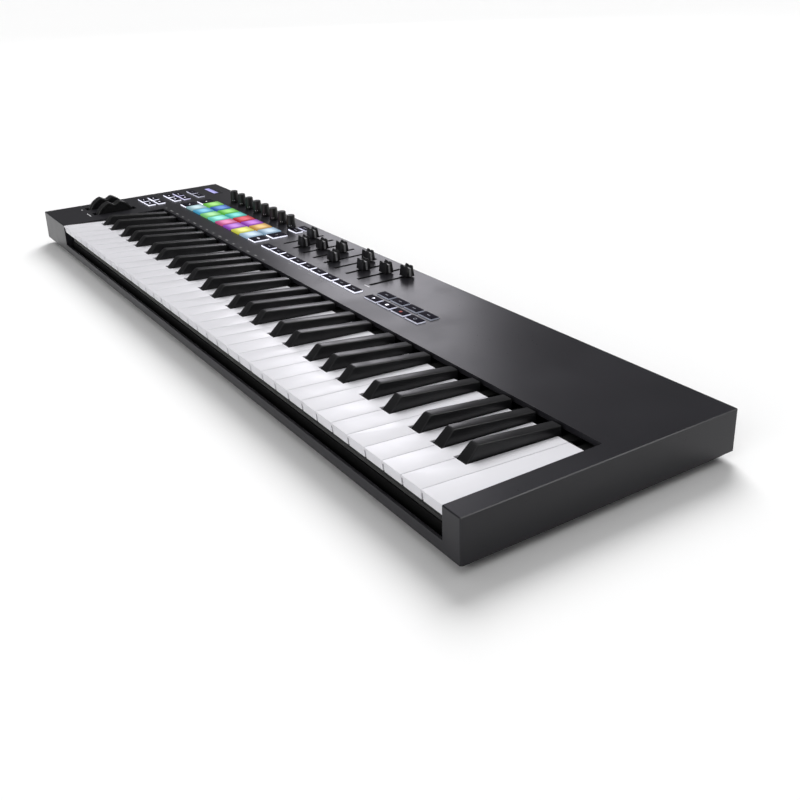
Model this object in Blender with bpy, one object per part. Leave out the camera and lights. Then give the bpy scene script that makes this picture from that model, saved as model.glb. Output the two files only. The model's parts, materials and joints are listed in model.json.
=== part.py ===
"""A 61-key keyboard controller: a wide flat case with a key well, two thumb wheels, sixteen pads,
eight knobs, nine faders and their button rows, built as separate pieces.

Lengths are metres. Inside the script every place is measured from the left front lower corner of
the upper case: X along the keys, Y from the player to the rear, Z up. One empty carries all the
pieces to the object's own frame, whose origin is the middle of the face that the object stands on.
"""

import math

import bmesh
import bpy
from mathutils import Matrix

# ---- Driving dimensions -------------------------------------------------------------------------

GAP = 0.0003  # clearance between pieces that touch
WALL = 0.0025  # moulded wall of the case
DECK = 0.0028  # thickness of the top panel

WHITE_PITCH = 0.0235
WHITES = 36
OCTAVES = 5
LEFT_BLOCK = 0.0945
RIGHT_CHEEK = 0.019
CASE_W = LEFT_BLOCK + WHITES * WHITE_PITCH + RIGHT_CHEEK
CASE_D = 0.256
CASE_H = 0.0355
WELL_D = 0.137  # from the front to the wall behind the keys
LIP_H = 0.0092
EDGE = 0.0007  # chamfer of the case's outer edges

TRAY_INSET = 0.005
TRAY_T = 0.002
RIM_TOP = 0.0018  # top of the tray's rim
TRAY_DROP = 0.005  # how far the tray hangs below the upper case
FOOT_H = 0.003
LIFT = TRAY_DROP + FOOT_H  # lower edge of the upper case above the table

# Keys turn about one line behind the well. Their heights are measured from that line.
HINGE_Y = 0.150
HINGE_Z = 0.0221
KEY_TILT = math.radians(2.8)  # front end up at rest
KEY_TOP = 0.006
KEY_BOTTOM = -0.0027
WHITE_LENGTH = 0.1503
WHITE_REAR = 0.028  # from the hinge line forward to the white tops' rear end
WHITE_GAP = 0.0009
WHITE_SETBACK = 0.0016  # lower edge of the front face
NOTCH_FRONT = 0.105  # from the hinge line forward to the step beside a black key
BLACK_BASE = 0.0118
BLACK_SLOT = 0.0012  # gap on each side of a black key
BLACK_FRONT = 0.1030
BLACK_TOP_FRONT = 0.0925
BLACK_REAR = 0.017
BLACK_BOTTOM = -0.0036
BLACK_RISE_FRONT = 0.0106
BLACK_RISE_REAR = 0.0063
KEY_WALL = 0.0018
STRIP_FRONT = 0.003
STRIP_REAR = -0.005
STRIP_T = 0.0018
# Lower face of the strip that joins each set of keys, so that the three sets stack.
STRIP_LEVEL = {"cegb": 0.0036, "dfa": 0.0, "black": BLACK_BOTTOM}
TONGUE_W = 0.0095

# The seven whites of an octave, and how far each black key stands off the line between two whites.
WHITE_NAMES = "CDEFGAB"
BLACK_OFFSET = {0: -0.0038, 1: 0.0030, 3: -0.0046, 4: 0.0, 5: 0.0046}

# Control rows of the top panel.
GRID = 0.0243
BUTTON_W = 0.0215
BUTTON_D = 0.0100
BUTTON_EDGE = 0.0003  # chamfer round a button's top
BUTTON_RISE = 0.0013
ROW_A = 0.1637  # front edge of the row nearest the keys
ROW_B = 0.1794
LEFT_COLUMNS = (0.0208, 0.0451)
PAD_PITCH = 0.0248
PAD_SIZE = 0.0225
PAD_RISE = 0.0018
PAD_EDGE = 0.0006
PAD_X = 0.1225
PAD_ROWS = (0.1745, 0.1993)
END_BUTTON = 0.0198
END_LEFT_X = 0.0899
END_RIGHT_X = 0.3087
KNOB_X = 0.1263
KNOB_Y = 0.230
KNOB_R = 0.00565
KNOB_H = 0.0157
SHAFT_R = 0.003
FADER_X = 0.3549
FADER_SLOT = (0.1895, 0.2435)
SLOT_W = 0.0034
CAP_W = 0.0138
CAP_D = 0.0104
CAP_H = 0.0115
CAP_SADDLE = 0.0016
CAP_LIFT = 0.0009
# Where each fader stands along its slot.
FADER_Y = (0.2290, 0.2040, 0.2150, 0.2275, 0.2025, 0.2330, 0.2120, 0.2255, 0.2360)
DEVICE_X = 0.3038
DEVICE_ROWS = (0.2215, 0.2349)
FADER_BUTTON_X = 0.3464
TRANSPORT_X = 0.5785
TRANSPORT_ROWS = (0.1646, 0.1800)
DISPLAY = (0.0215, 0.0640, 0.2275, 0.2400)

WHEEL_R = 0.0272
WHEEL_W = 0.012
WHEEL_X = {"pitch_wheel": 0.027, "mod_wheel": 0.061}
WHEEL_Y = 0.0792
WHEEL_Z = 0.0233
WHEEL_OPENING = (0.0140, 0.0590)
WHEEL_SWEEP = math.radians(105)
HOLLOW_HALF = math.radians(19)  # thumb hollow: half its width as a turn, then its depth
HOLLOW_DEPTH = 0.0047
HUB_R = 0.010
AXLE_R = 0.0025
BORE_R = 0.0029

BOARD_Z = 0.0210  # underside of the panel board
BOARD_T = 0.0016
WEB_T = 0.0015  # sheet that joins the buttons of one keypad, under the panel
WEB_DROP = 0.0010  # air between that sheet and the panel
WEB_MARGIN = 0.0005
STUB_HALF = 0.003  # half the side of a button's contact stub
DOME_GAP = 0.0016

# Keybed heights: the rails' floor, the contact board, the rubber domes and the felt.
KEYBED_X = (LEFT_BLOCK + 0.003, CASE_W - RIGHT_CHEEK - 0.003)
KEYBED_FLOOR = -0.0026
CONTACT_Z = 0.0110
RUBBER_TOP = 0.0169
FELT_TOP = 0.0163

# Sockets of the rear wall: centre x and z, then half width and half height of the visible face.
SOCKETS = {
    "usb_socket": (0.070, 0.0125, 0.0060, 0.0055),
    "midi_socket": (0.105, 0.0125, 0.0080, 0.0080),
    "pedal_jack": (0.140, 0.0125, 0.0055, 0.0055),
}
LOCK_SLOT = (0.175, 0.0125)
MAIN_BOARD = (0.050, 0.230, 0.1930, 0.2500, 0.0022)

MATERIALS = {
    "black_abs": ((0.045, 0.045, 0.048), 0.42, 0.0),
    "black_satin": ((0.020, 0.020, 0.021), 0.35, 0.0),
    "white_key": ((0.82, 0.82, 0.84), 0.25, 0.0),
    "black_key": ((0.018, 0.018, 0.019), 0.40, 0.0),
    "pad_silicone": ((0.75, 0.78, 0.80), 0.55, 0.0),
    "button_silicone": ((0.03, 0.03, 0.034), 0.50, 0.0),
    "circuit_board": ((0.02, 0.10, 0.05), 0.45, 0.0),
    "steel": ((0.55, 0.56, 0.58), 0.30, 1.0),
    "felt": ((0.30, 0.06, 0.06), 0.95, 0.0),
    "rubber": ((0.015, 0.015, 0.015), 0.85, 0.0),
    "display_glass": ((0.40, 0.40, 0.72), 0.12, 0.0),
    "chassis_abs": ((0.012, 0.012, 0.013), 0.60, 0.0),
}


# ---- Making shapes --------------------------------------------------------------------------------


def clear_scene():
    for old in list(bpy.data.objects):
        bpy.data.objects.remove(old, do_unlink=True)


def make_material(name):
    colour, roughness, metallic = MATERIALS[name]
    material = bpy.data.materials.get(name) or bpy.data.materials.new(name)
    material.use_nodes = True
    shader = material.node_tree.nodes["Principled BSDF"]
    shader.inputs["Base Color"].default_value = (*colour, 1.0)
    shader.inputs["Roughness"].default_value = roughness
    shader.inputs["Metallic"].default_value = metallic
    return material


def from_bmesh(name, shape):
    """A new object that owns the given bmesh, with its faces pointing out."""
    bmesh.ops.recalc_face_normals(shape, faces=shape.faces)
    mesh = bpy.data.meshes.new(name)
    shape.to_mesh(mesh)
    shape.free()
    obj = bpy.data.objects.new(name, mesh)
    bpy.context.scene.collection.objects.link(obj)
    return obj


def box(x0, x1, y0, y1, z0, z1, name="block"):
    shape = bmesh.new()
    bmesh.ops.create_cube(shape, size=1.0)
    size = Matrix.Diagonal((x1 - x0, y1 - y0, z1 - z0, 1.0))
    centre = Matrix.Translation(((x0 + x1) / 2, (y0 + y1) / 2, (z0 + z1) / 2))
    bmesh.ops.transform(shape, matrix=centre @ size, verts=shape.verts)
    return from_bmesh(name, shape)


def loft(sections, name="loft"):
    """A closed solid through a stack of outlines that have the same number of points."""
    shape = bmesh.new()
    rings = [[shape.verts.new(point) for point in section] for section in sections]
    count = len(rings[0])
    for lower, upper in zip(rings, rings[1:]):
        for i in range(count):
            j = (i + 1) % count
            shape.faces.new((lower[i], lower[j], upper[j], upper[i]))
    shape.faces.new(list(reversed(rings[0])))
    shape.faces.new(rings[-1])
    return from_bmesh(name, shape)


def prism_z(outline, z0, z1, name="prism"):
    return loft([[(x, y, z) for x, y in outline] for z in (z0, z1)], name)


def prism_x(profile, x0, x1, name="prism"):
    return loft([[(x, y, z) for y, z in profile] for x in (x0, x1)], name)


def ring(radius, count, x, y):
    turns = [2 * math.pi * (i + 0.5) / count for i in range(count)]
    return [(x + radius * math.cos(a), y + radius * math.sin(a)) for a in turns]


def boolean(target, other, operation):
    """Cuts or joins with an exact Boolean, applies it, and removes the other object."""
    modifier = target.modifiers.new(operation.lower(), "BOOLEAN")
    modifier.operation = operation
    modifier.solver = "EXACT"
    modifier.object = other
    graph = bpy.context.evaluated_depsgraph_get()
    result = bpy.data.meshes.new_from_object(target.evaluated_get(graph))
    target.modifiers.clear()
    target.data = result
    bpy.data.objects.remove(other, do_unlink=True)
    return target


def cut(target, *others):
    for other in others:
        boolean(target, other, "DIFFERENCE")
    return target


def join(target, *others):
    for other in others:
        boolean(target, other, "UNION")
    return target


def merged(objects):
    """One object that holds several separate cutters."""
    shape = bmesh.new()
    for obj in objects:
        shape.from_mesh(obj.data)
        bpy.data.objects.remove(obj, do_unlink=True)
    return from_bmesh("cutters", shape)


def finish(obj, name, material, smooth=False):
    obj.name = name
    obj.data.name = name
    obj.data.materials.clear()
    obj.data.materials.append(make_material(material))
    if smooth:
        obj.data.shade_smooth()
        obj.data.set_sharp_from_angle(angle=math.radians(30))
    return obj


# ---- Where the controls stand --------------------------------------------------------------------


def button_rects():
    """Every button group: a list of (x0, x1, y0, y1) for each keypad."""
    ends_left = [(END_LEFT_X, y) for y in (ROW_A, ROW_A + PAD_PITCH)]
    ends_right = [(END_RIGHT_X, y) for y in (ROW_A, ROW_A + PAD_PITCH)]
    left_front = [(x, y) for x in LEFT_COLUMNS for y in (0.1265, 0.1408)]
    left_rear = [(x, y) for x in LEFT_COLUMNS for y in (0.1644, 0.1788, 0.2002)]
    device = [(DEVICE_X, y) for y in DEVICE_ROWS]
    faders = [(FADER_BUTTON_X + i * GRID, ROW_A) for i in range(9)]
    transport = [(TRANSPORT_X + i * GRID, y) for i in range(4) for y in TRANSPORT_ROWS]
    flat = {
        "left_keypad_front": left_front,
        "left_keypad_rear": left_rear,
        "device_buttons": device,
        "fader_buttons": faders,
        "transport_buttons": transport,
    }
    square = {"pad_buttons_left": ends_left, "pad_buttons_right": ends_right}
    rects = {}
    for name, corners in flat.items():
        rects[name] = [(x, x + BUTTON_W, y, y + BUTTON_D) for x, y in corners]
    for name, corners in square.items():
        rects[name] = [(x, x + END_BUTTON, y, y + END_BUTTON) for x, y in corners]
    return rects


def pad_rects():
    half = PAD_SIZE / 2
    centres = [(PAD_X + i * PAD_PITCH, y) for i in range(8) for y in PAD_ROWS]
    return [(x - half, x + half, y - half, y + half) for x, y in centres]


def knob_places():
    return [KNOB_X + i * GRID for i in range(8)]


def fader_places():
    return [FADER_X + i * GRID for i in range(9)]


# ---- Case -------------------------------------------------------------------------------------------


def case_cavities():
    under_deck = CASE_H - DECK
    well = (LEFT_BLOCK, CASE_W - RIGHT_CHEEK)
    deep = -0.005
    key_pass = HINGE_Z + KEY_TOP + 0.0027
    return [
        box(well[0], well[1], deep, WELL_D, LIP_H, CASE_H + 0.01),
        box(WALL, CASE_W - WALL, WELL_D + WALL, CASE_D - WALL, deep, under_deck),
        box(WALL, well[0] - WALL, WALL, WELL_D + 0.01, deep, under_deck),
        box(well[1] + WALL, CASE_W - WALL, WALL, WELL_D + 0.01, deep, under_deck),
        box(well[0], well[1], WALL, WELL_D + 0.001, deep, LIP_H + 0.001),
        box(well[0], well[1], WELL_D - 0.01, WELL_D + 0.01, deep, key_pass),
        box(WALL, CASE_W - WALL, WALL, CASE_D - WALL, deep, RIM_TOP + GAP),
    ]


def panel_cutters():
    """All the openings of the top panel and of the rear wall, none touching another."""
    z0, z1 = CASE_H - DECK - 0.002, CASE_H + 0.002
    cutters = []
    for rects in button_rects().values():
        cutters += [box(a - GAP, b + GAP, c - GAP, d + GAP, z0, z1) for a, b, c, d in rects]
    cutters += [box(a - GAP, b + GAP, c - GAP, d + GAP, z0, z1) for a, b, c, d in pad_rects()]
    for x in knob_places():
        cutters.append(prism_z(ring(SHAFT_R + 0.0006, 8, x, KNOB_Y), z0, z1))
    for x in fader_places():
        cutters.append(box(x - SLOT_W / 2, x + SLOT_W / 2, *FADER_SLOT, z0, z1))
    half_x, half_y = WHEEL_OPENING[0] / 2, WHEEL_OPENING[1] / 2
    for x in WHEEL_X.values():
        cutters.append(box(x - half_x, x + half_x, WHEEL_Y - half_y, WHEEL_Y + half_y, z0, z1))
    x0, x1, y0, y1 = DISPLAY
    cutters.append(box(x0 - GAP, x1 + GAP, y0 - GAP, y1 + GAP, z0, z1))
    y0, y1 = CASE_D - WALL - 0.002, CASE_D + 0.002
    for name, (x, z, half_x, half_z) in SOCKETS.items():
        if name == "midi_socket" or name == "pedal_jack":
            outline = ring(half_x + GAP, 16, x, z)
            cutters.append(loft([[(a, y, b) for a, b in outline] for y in (y0, y1)]))
        else:
            x0, x1 = x - half_x - GAP, x + half_x + GAP
            cutters.append(box(x0, x1, y0, y1, z - half_z - GAP, z + half_z + GAP))
    x, z = LOCK_SLOT
    cutters.append(box(x - 0.0035, x + 0.0035, y0, y1, z - 0.0015, z + 0.0015))
    return cutters


def make_top_case():
    shell = box(0, CASE_W, 0, CASE_D, 0, CASE_H)
    shape = bmesh.new()
    shape.from_mesh(shell.data)
    upper = [e for e in shape.edges if any(v.co.z > CASE_H / 2 for v in e.verts)]
    bmesh.ops.bevel(shape, geom=upper, offset=EDGE, segments=1, affect="EDGES")
    shape.to_mesh(shell.data)
    shape.free()
    cut(shell, *case_cavities())
    cut(shell, merged(panel_cutters()))
    return finish(shell, "top_case", "black_abs")


def make_bottom_tray():
    """A shallow pan whose rim fits inside the walls of the upper case."""
    inset = WALL + GAP
    tray = box(inset, CASE_W - inset, inset, CASE_D - inset, 0, RIM_TOP)
    x0, x1 = TRAY_INSET, CASE_W - TRAY_INSET
    y0, y1 = TRAY_INSET, CASE_D - TRAY_INSET
    join(tray, box(x0, x1, y0, y1, -TRAY_DROP, RIM_TOP / 2))
    t = TRAY_T
    inner = box(x0 + t, x1 - t, y0 + t, y1 - t, -TRAY_DROP + t, RIM_TOP + 0.01)
    return finish(cut(tray, inner), "bottom_tray", "black_abs")


def make_feet():
    length, width, inset = 0.044, 0.016, 0.022
    for side, x in (("left", inset), ("right", CASE_W - inset - length)):
        for end, y in (("front", inset), ("rear", CASE_D - inset - width)):
            top = -TRAY_DROP - GAP
            foot = box(x, x + length, y, y + width, -LIFT, top)
            finish(foot, f"foot_{end}_{side}", "rubber")


# ---- Keybed -----------------------------------------------------------------------------------------


def white_outline(index, octave_key):
    """Plan outline of a white key, from the hinge line: X from the case's left side, Y negative."""
    left = LEFT_BLOCK + index * WHITE_PITCH + WHITE_GAP / 2
    right = left + WHITE_PITCH - WHITE_GAP
    half = BLACK_BASE / 2 + BLACK_SLOT
    last = index == WHITES - 1
    rear_left, rear_right = left, right
    if octave_key - 1 in BLACK_OFFSET and octave_key > 0:
        rear_left = left - WHITE_GAP / 2 + BLACK_OFFSET[octave_key - 1] + half
    if octave_key in BLACK_OFFSET and not last:
        rear_right = right + WHITE_GAP / 2 + BLACK_OFFSET[octave_key] - half
    front, step, rear = -WHITE_LENGTH, -NOTCH_FRONT, -WHITE_REAR
    outline = [(left, front), (right, front)]
    if rear_right < right:
        outline += [(right, step), (rear_right, step)]
    outline += [(rear_right, rear), (rear_left, rear)]
    if rear_left > left:
        outline += [(rear_left, step), (left, step)]
    return outline, rear_left, rear_right


def make_white(index, octave_key):
    """A white key, hollow from below. It comes with its middle, where its tongue goes."""
    outline, rear_left, rear_right = white_outline(index, octave_key)
    key = prism_z(outline, KEY_BOTTOM, KEY_TOP)
    for vertex in key.data.vertices:
        if vertex.co.z < 0 and vertex.co.y < -WHITE_LENGTH + 0.001:
            vertex.co.y += WHITE_SETBACK
    hollow = box(
        rear_left + KEY_WALL,
        rear_right - KEY_WALL,
        -WHITE_LENGTH + WHITE_SETBACK + KEY_WALL,
        -WHITE_REAR - KEY_WALL,
        KEY_BOTTOM - 0.001,
        KEY_TOP - KEY_WALL,
    )
    return cut(key, hollow), (rear_left + rear_right) / 2


def make_black(boundary, offset):
    """A black key with sloping front and sides, hollow from below."""
    x = LEFT_BLOCK + boundary * WHITE_PITCH + offset
    half = BLACK_BASE / 2
    shoulder = KEY_TOP - 0.001

    def section(front, rear, half_front, half_rear, z_front, z_rear):
        return [
            (x - half_front, -front, z_front),
            (x + half_front, -front, z_front),
            (x + half_rear, -rear, z_rear),
            (x - half_rear, -rear, z_rear),
        ]

    levels = [
        section(BLACK_FRONT, BLACK_REAR, half, half, BLACK_BOTTOM, BLACK_BOTTOM),
        section(BLACK_FRONT, BLACK_REAR, half, half, shoulder, shoulder),
        section(
            BLACK_TOP_FRONT,
            BLACK_REAR,
            0.0045,
            0.0051,
            KEY_TOP + BLACK_RISE_FRONT,
            KEY_TOP + BLACK_RISE_REAR,
        ),
    ]
    key = loft(levels)
    hollow = box(
        x - half + KEY_WALL,
        x + half - KEY_WALL,
        -BLACK_FRONT + 0.004,
        -BLACK_REAR - KEY_WALL,
        BLACK_BOTTOM - 0.001,
        shoulder,
    )
    return cut(key, hollow), x


def make_comb(name, keys, level, material, x0, x1):
    """Keys moulded on one strip at the rear, which is what they turn with."""
    strip = box(x0, x1, -STRIP_FRONT, -STRIP_REAR, level, level + STRIP_T)
    rear = BLACK_REAR if material == "black_key" else WHITE_REAR
    for key, middle in keys:
        half = TONGUE_W / 2
        root = rear + KEY_WALL / 2
        tongue = box(
            middle - half,
            middle + half,
            -root,
            -STRIP_FRONT + 0.002,
            level + 0.0001,
            level + STRIP_T - 0.0001,
        )
        join(strip, tongue)
        join(strip, key)
    strip.location = (0, HINGE_Y, HINGE_Z)
    strip.rotation_euler = (-KEY_TILT, 0, 0)
    return finish(strip, name, material)


def make_keys():
    for octave in range(OCTAVES):
        first = octave * 7
        x0 = LEFT_BLOCK + first * WHITE_PITCH + 0.002
        x1 = LEFT_BLOCK + (first + 7) * WHITE_PITCH - 0.002
        number = octave + 1
        for group, members in (("cegb", (0, 2, 4, 6)), ("dfa", (1, 3, 5))):
            keys = [make_white(first + k, k) for k in members]
            name = f"white_keys_{group}_{number}"
            make_comb(name, keys, STRIP_LEVEL[group], "white_key", x0, x1)
        blacks = [make_black(first + k + 1, BLACK_OFFSET[k]) for k in BLACK_OFFSET]
        name = f"black_keys_{number}"
        make_comb(name, blacks, STRIP_LEVEL["black"], "black_key", x0, x1)
    x0 = LEFT_BLOCK + (WHITES - 1) * WHITE_PITCH + 0.002
    keys = [make_white(WHITES - 1, 0)]
    x1 = x0 + WHITE_PITCH - 0.004
    make_comb("white_key_top_c", keys, STRIP_LEVEL["cegb"], "white_key", x0, x1)


def make_keybed():
    """A ribbed carrier: front stop rail, middle rail for the contact board, rear rail."""
    floor, top = KEYBED_FLOOR, KEYBED_FLOOR + TRAY_T
    front, felt_z, rear_z = TRAY_INSET + 0.003, 0.0135, 0.0176
    profile = [
        (front, floor),
        (0.158, floor),
        (0.158, rear_z),
        (0.142, rear_z),
        (0.142, top),
        (0.106, top),
        (0.106, CONTACT_Z - GAP),
        (0.076, CONTACT_Z - GAP),
        (0.076, top),
        (0.024, top),
        (0.024, felt_z),
        (front, felt_z),
    ]
    chassis = prism_x(profile, *KEYBED_X)
    finish(chassis, "keybed_chassis", "chassis_abs")

    x0, x1 = KEYBED_X[0] + 0.002, KEYBED_X[1] - 0.002
    board = box(x0, x1, 0.077, 0.105, CONTACT_Z, CONTACT_Z + BOARD_T)
    finish(board, "key_contact_board", "circuit_board")

    base = CONTACT_Z + BOARD_T + GAP
    dome = [
        (0.080, base),
        (0.102, base),
        (0.102, base + 0.0012),
        (0.096, base + 0.0012),
        (0.093, RUBBER_TOP),
        (0.088, RUBBER_TOP),
        (0.085, base + 0.0012),
        (0.080, base + 0.0012),
    ]
    finish(prism_x(dome, x0, x1), "contact_rubber", "rubber")

    felt = box(x0, x1, front + 0.001, 0.023, felt_z + GAP, FELT_TOP)
    finish(felt, "key_stop_felt", "felt")


# ---- Wheels ---------------------------------------------------------------------------------------


def wheel_profile():
    """Upper part of a round wheel with a thumb hollow on top, closed round its hub: (y, z)."""
    steps, dip_steps = 18, 6
    turns = [WHEEL_SWEEP * (1 - 2 * i / steps) for i in range(steps + 1)]
    left = [(a, WHEEL_R) for a in turns if a > HOLLOW_HALF + 0.02]
    right = [(a, WHEEL_R) for a in turns if a < -HOLLOW_HALF - 0.02]
    dip = []
    for i in range(dip_steps + 1):
        share = 1 - 2 * i / dip_steps
        depth = HOLLOW_DEPTH * math.cos(share * math.pi / 2) ** 2
        dip.append((HOLLOW_HALF * share, WHEEL_R - depth))
    hub = [(math.radians(turn), HUB_R) for turn in (-150, 180, 150)]
    profile = left + dip + right + hub
    return [(-r * math.sin(a), r * math.cos(a)) for a, r in profile]


def make_wheels():
    profile = wheel_profile()
    for name, x in WHEEL_X.items():
        half = WHEEL_W / 2
        wheel = prism_x(profile, -half, half)
        bore = [(y, z) for y, z in ring(BORE_R, 12, 0, 0)]
        cut(wheel, prism_x(bore, -half - 0.001, half + 0.001))
        wheel.location = (x, WHEEL_Y, WHEEL_Z)
        finish(wheel, name, "black_satin", smooth=True)


def make_wheel_bracket():
    """A base plate, three posts and the axle that both wheels turn on."""
    half = WHEEL_W / 2
    pitch_x, mod_x = WHEEL_X["pitch_wheel"], WHEEL_X["mod_wheel"]
    posts = [
        (pitch_x - half - 0.0055, pitch_x - half - 0.0015),
        ((pitch_x + mod_x) / 2 - 0.002, (pitch_x + mod_x) / 2 + 0.002),
        (mod_x + half + 0.0015, mod_x + half + 0.0055),
    ]
    x0, x1 = posts[0][0], posts[-1][1]
    bracket = box(x0, x1, WHEEL_Y - 0.012, WHEEL_Y + 0.012, -0.0026, -0.0010)
    for a, b in posts:
        post = box(a, b, WHEEL_Y - 0.006, WHEEL_Y + 0.006, -0.0018, WHEEL_Z + 0.006)
        join(bracket, post)
    axle = prism_x(ring(AXLE_R, 12, WHEEL_Y, WHEEL_Z), x0 + 0.001, x1 - 0.001)
    join(bracket, axle)
    return finish(bracket, "wheel_bracket", "steel")


# ---- Panel controls -------------------------------------------------------------------------------


def make_keypad(name, rects, rise, material, chamfer):
    """Buttons standing on one sheet under the panel, each with a stub over its contact."""
    web_top = CASE_H - DECK - WEB_DROP
    web_bottom = web_top - WEB_T
    x0 = min(r[0] for r in rects) - WEB_MARGIN
    x1 = max(r[1] for r in rects) + WEB_MARGIN
    y0 = min(r[2] for r in rects) - WEB_MARGIN
    y1 = max(r[3] for r in rects) + WEB_MARGIN
    keypad = box(x0, x1, y0, y1, web_bottom, web_top)
    top = CASE_H + rise
    for a, b, c, d in rects:
        levels = [(0, web_top - 0.0007), (0, top - chamfer), (chamfer, top)]
        sections = []
        for inset, z in levels:
            sections.append(
                [
                    (a + inset, c + inset, z),
                    (b - inset, c + inset, z),
                    (b - inset, d - inset, z),
                    (a + inset, d - inset, z),
                ]
            )
        join(keypad, loft(sections))
        x, y = (a + b) / 2, (c + d) / 2
        foot = BOARD_Z + BOARD_T + DOME_GAP
        stub = box(x - STUB_HALF, x + STUB_HALF, y - STUB_HALF, y + STUB_HALF, foot, web_bottom + 0.0007)
        join(keypad, stub)
    return finish(keypad, name, material)


def make_knobs():
    facets = 16
    for number, x in enumerate(knob_places(), 1):
        base = CASE_H + 0.0006
        top = base + KNOB_H
        rings = [
            (KNOB_R, base),
            (KNOB_R, top - 0.0008),
            (KNOB_R - 0.0008, top),
        ]
        cap = loft([[(a, b, z) for a, b in ring(r, facets, 0, 0)] for r, z in rings])
        shaft_foot = BOARD_Z + BOARD_T + 0.0065 + GAP
        shaft = prism_z(ring(SHAFT_R, 8, 0, 0), shaft_foot, base + 0.002)
        join(cap, shaft)
        cap.location = (x, KNOB_Y, 0)
        finish(cap, f"knob_{number}", "black_satin", smooth=True)


def cap_profile():
    """Side view of a fader cap, (y, z): a sloping block with a finger saddle across its top."""
    half, top_half = CAP_D / 2, CAP_D / 2 - 0.0013
    saddle = 0.0026
    return [
        (-half, 0),
        (half, 0),
        (top_half, CAP_H),
        (top_half - 0.0012, CAP_H + 0.0004),
        (saddle / 2, CAP_H - CAP_SADDLE),
        (-saddle / 2, CAP_H - CAP_SADDLE),
        (-top_half + 0.0012, CAP_H + 0.0004),
        (-top_half, CAP_H),
    ]


def make_faders():
    base = CASE_H + CAP_LIFT
    taper = 0.0007
    for number, (x, y) in enumerate(zip(fader_places(), FADER_Y), 1):
        half = CAP_W / 2
        cap = prism_x(cap_profile(), -half, half)
        for vertex in cap.data.vertices:
            if vertex.co.z > CAP_H / 2:
                vertex.co.x -= math.copysign(taper, vertex.co.x)
        cap.data.transform(Matrix.Translation((0, 0, base)))
        foot = BOARD_Z + BOARD_T + 0.0070 + GAP
        stem = box(-0.0008, 0.0008, -0.002, 0.002, foot, base + 0.002)
        join(cap, stem)
        cap.location = (x, y, 0)
        finish(cap, f"fader_{number}", "black_satin")


def make_display():
    x0, x1, y0, y1 = DISPLAY
    lens = box(x0, x1, y0, y1, CASE_H - 0.0024, CASE_H + 0.0001)
    return finish(lens, "display_lens", "display_glass")


# ---- Boards and sockets ---------------------------------------------------------------------------


def make_panel_board():
    """An L-shaped board with its slide pots, rotary pots and display module standing on it."""
    rear = CASE_D - WALL - 0.003
    front = HINGE_Y + 0.0105
    left, right = WALL + 0.003, TRANSPORT_X + 4 * GRID + 0.006
    inner, low = LEFT_BLOCK - WALL - 0.002, 0.1235
    outline = [
        (left, low),
        (inner, low),
        (inner, front),
        (right, front),
        (right, rear),
        (left, rear),
    ]
    board = prism_z(outline, BOARD_Z, BOARD_Z + BOARD_T)
    top = BOARD_Z + BOARD_T
    sunk = top - 0.0008
    for x in fader_places():
        y0, y1 = FADER_SLOT
        join(board, box(x - 0.0045, x + 0.0045, y0 - 0.003, y1 + 0.003, sunk, top + 0.0070))
    for x in knob_places():
        x0, x1 = x - 0.0055, x + 0.0055
        join(board, box(x0, x1, KNOB_Y - 0.006, KNOB_Y + 0.006, sunk, top + 0.0065))
    x0, x1, y0, y1 = DISPLAY
    join(board, box(x0 - 0.002, x1 + 0.002, y0 - 0.0015, y1 + 0.001, sunk, CASE_H - DECK - 0.002))
    return finish(board, "panel_board", "circuit_board")


def make_main_board():
    x0, x1, y0, y1, z = MAIN_BOARD
    board = box(x0, x1, y0, y1, z, z + BOARD_T)
    chip_z = z + BOARD_T
    join(board, box(0.190, 0.206, 0.205, 0.221, chip_z - 0.0008, chip_z + 0.0014))
    join(board, box(0.160, 0.171, 0.202, 0.213, chip_z - 0.0008, chip_z + 0.0012))
    return finish(board, "main_board", "circuit_board")


def make_sockets():
    """Each socket stands on the main board, with its mouth flush in the rear wall."""
    floor = MAIN_BOARD[4] + BOARD_T + GAP
    face = CASE_D - 0.0003
    root = 0.2360

    x, z, half_x, half_z = SOCKETS["usb_socket"]
    usb = box(x - half_x, x + half_x, root, face, z - half_z, z + half_z)
    join(usb, box(x - half_x, x + half_x, root, 0.2485, floor, z))
    cut(usb, box(x - 0.0042, x + 0.0042, face - 0.009, face + 0.001, z - 0.0037, z + 0.0037))
    tongue = box(x - 0.0028, x + 0.0028, face - 0.0095, face - 0.0015, z - 0.0015, z + 0.0015)
    join(usb, tongue)
    finish(usb, "usb_socket", "steel")

    x, z, radius, _ = SOCKETS["midi_socket"]
    barrel = [[(a, y, b) for a, b in ring(radius, 16, x, z)] for y in (root, face)]
    midi = loft(barrel)
    join(midi, box(x - 0.0095, x + 0.0095, root - 0.001, 0.2500, floor, z + 0.0078))
    bore = [[(a, y, b) for a, b in ring(0.0066, 16, x, z)] for y in (face - 0.009, face + 0.001)]
    cut(midi, loft(bore))
    finish(midi, "midi_socket", "black_satin", smooth=True)

    x, z, radius, _ = SOCKETS["pedal_jack"]
    barrel = [[(a, y, b) for a, b in ring(radius, 16, x, z)] for y in (root, face)]
    jack = loft(barrel)
    join(jack, box(x - 0.0075, x + 0.0075, root - 0.010, 0.2500, floor, z + 0.0070))
    bore = [[(a, y, b) for a, b in ring(0.0033, 12, x, z)] for y in (root - 0.006, face + 0.001)]
    cut(jack, loft(bore))
    finish(jack, "pedal_jack", "black_satin", smooth=True)


# ---- Assembly -------------------------------------------------------------------------------------


def carry_all():
    """Parents every piece to the empty that stands at the case corner in the object's frame."""
    pieces = list(bpy.context.scene.collection.objects)
    corner = bpy.data.objects.new("case_corner", None)
    bpy.context.scene.collection.objects.link(corner)
    corner.location = (-CASE_W / 2, -CASE_D / 2, LIFT)
    for piece in pieces:
        piece.parent = corner


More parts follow.
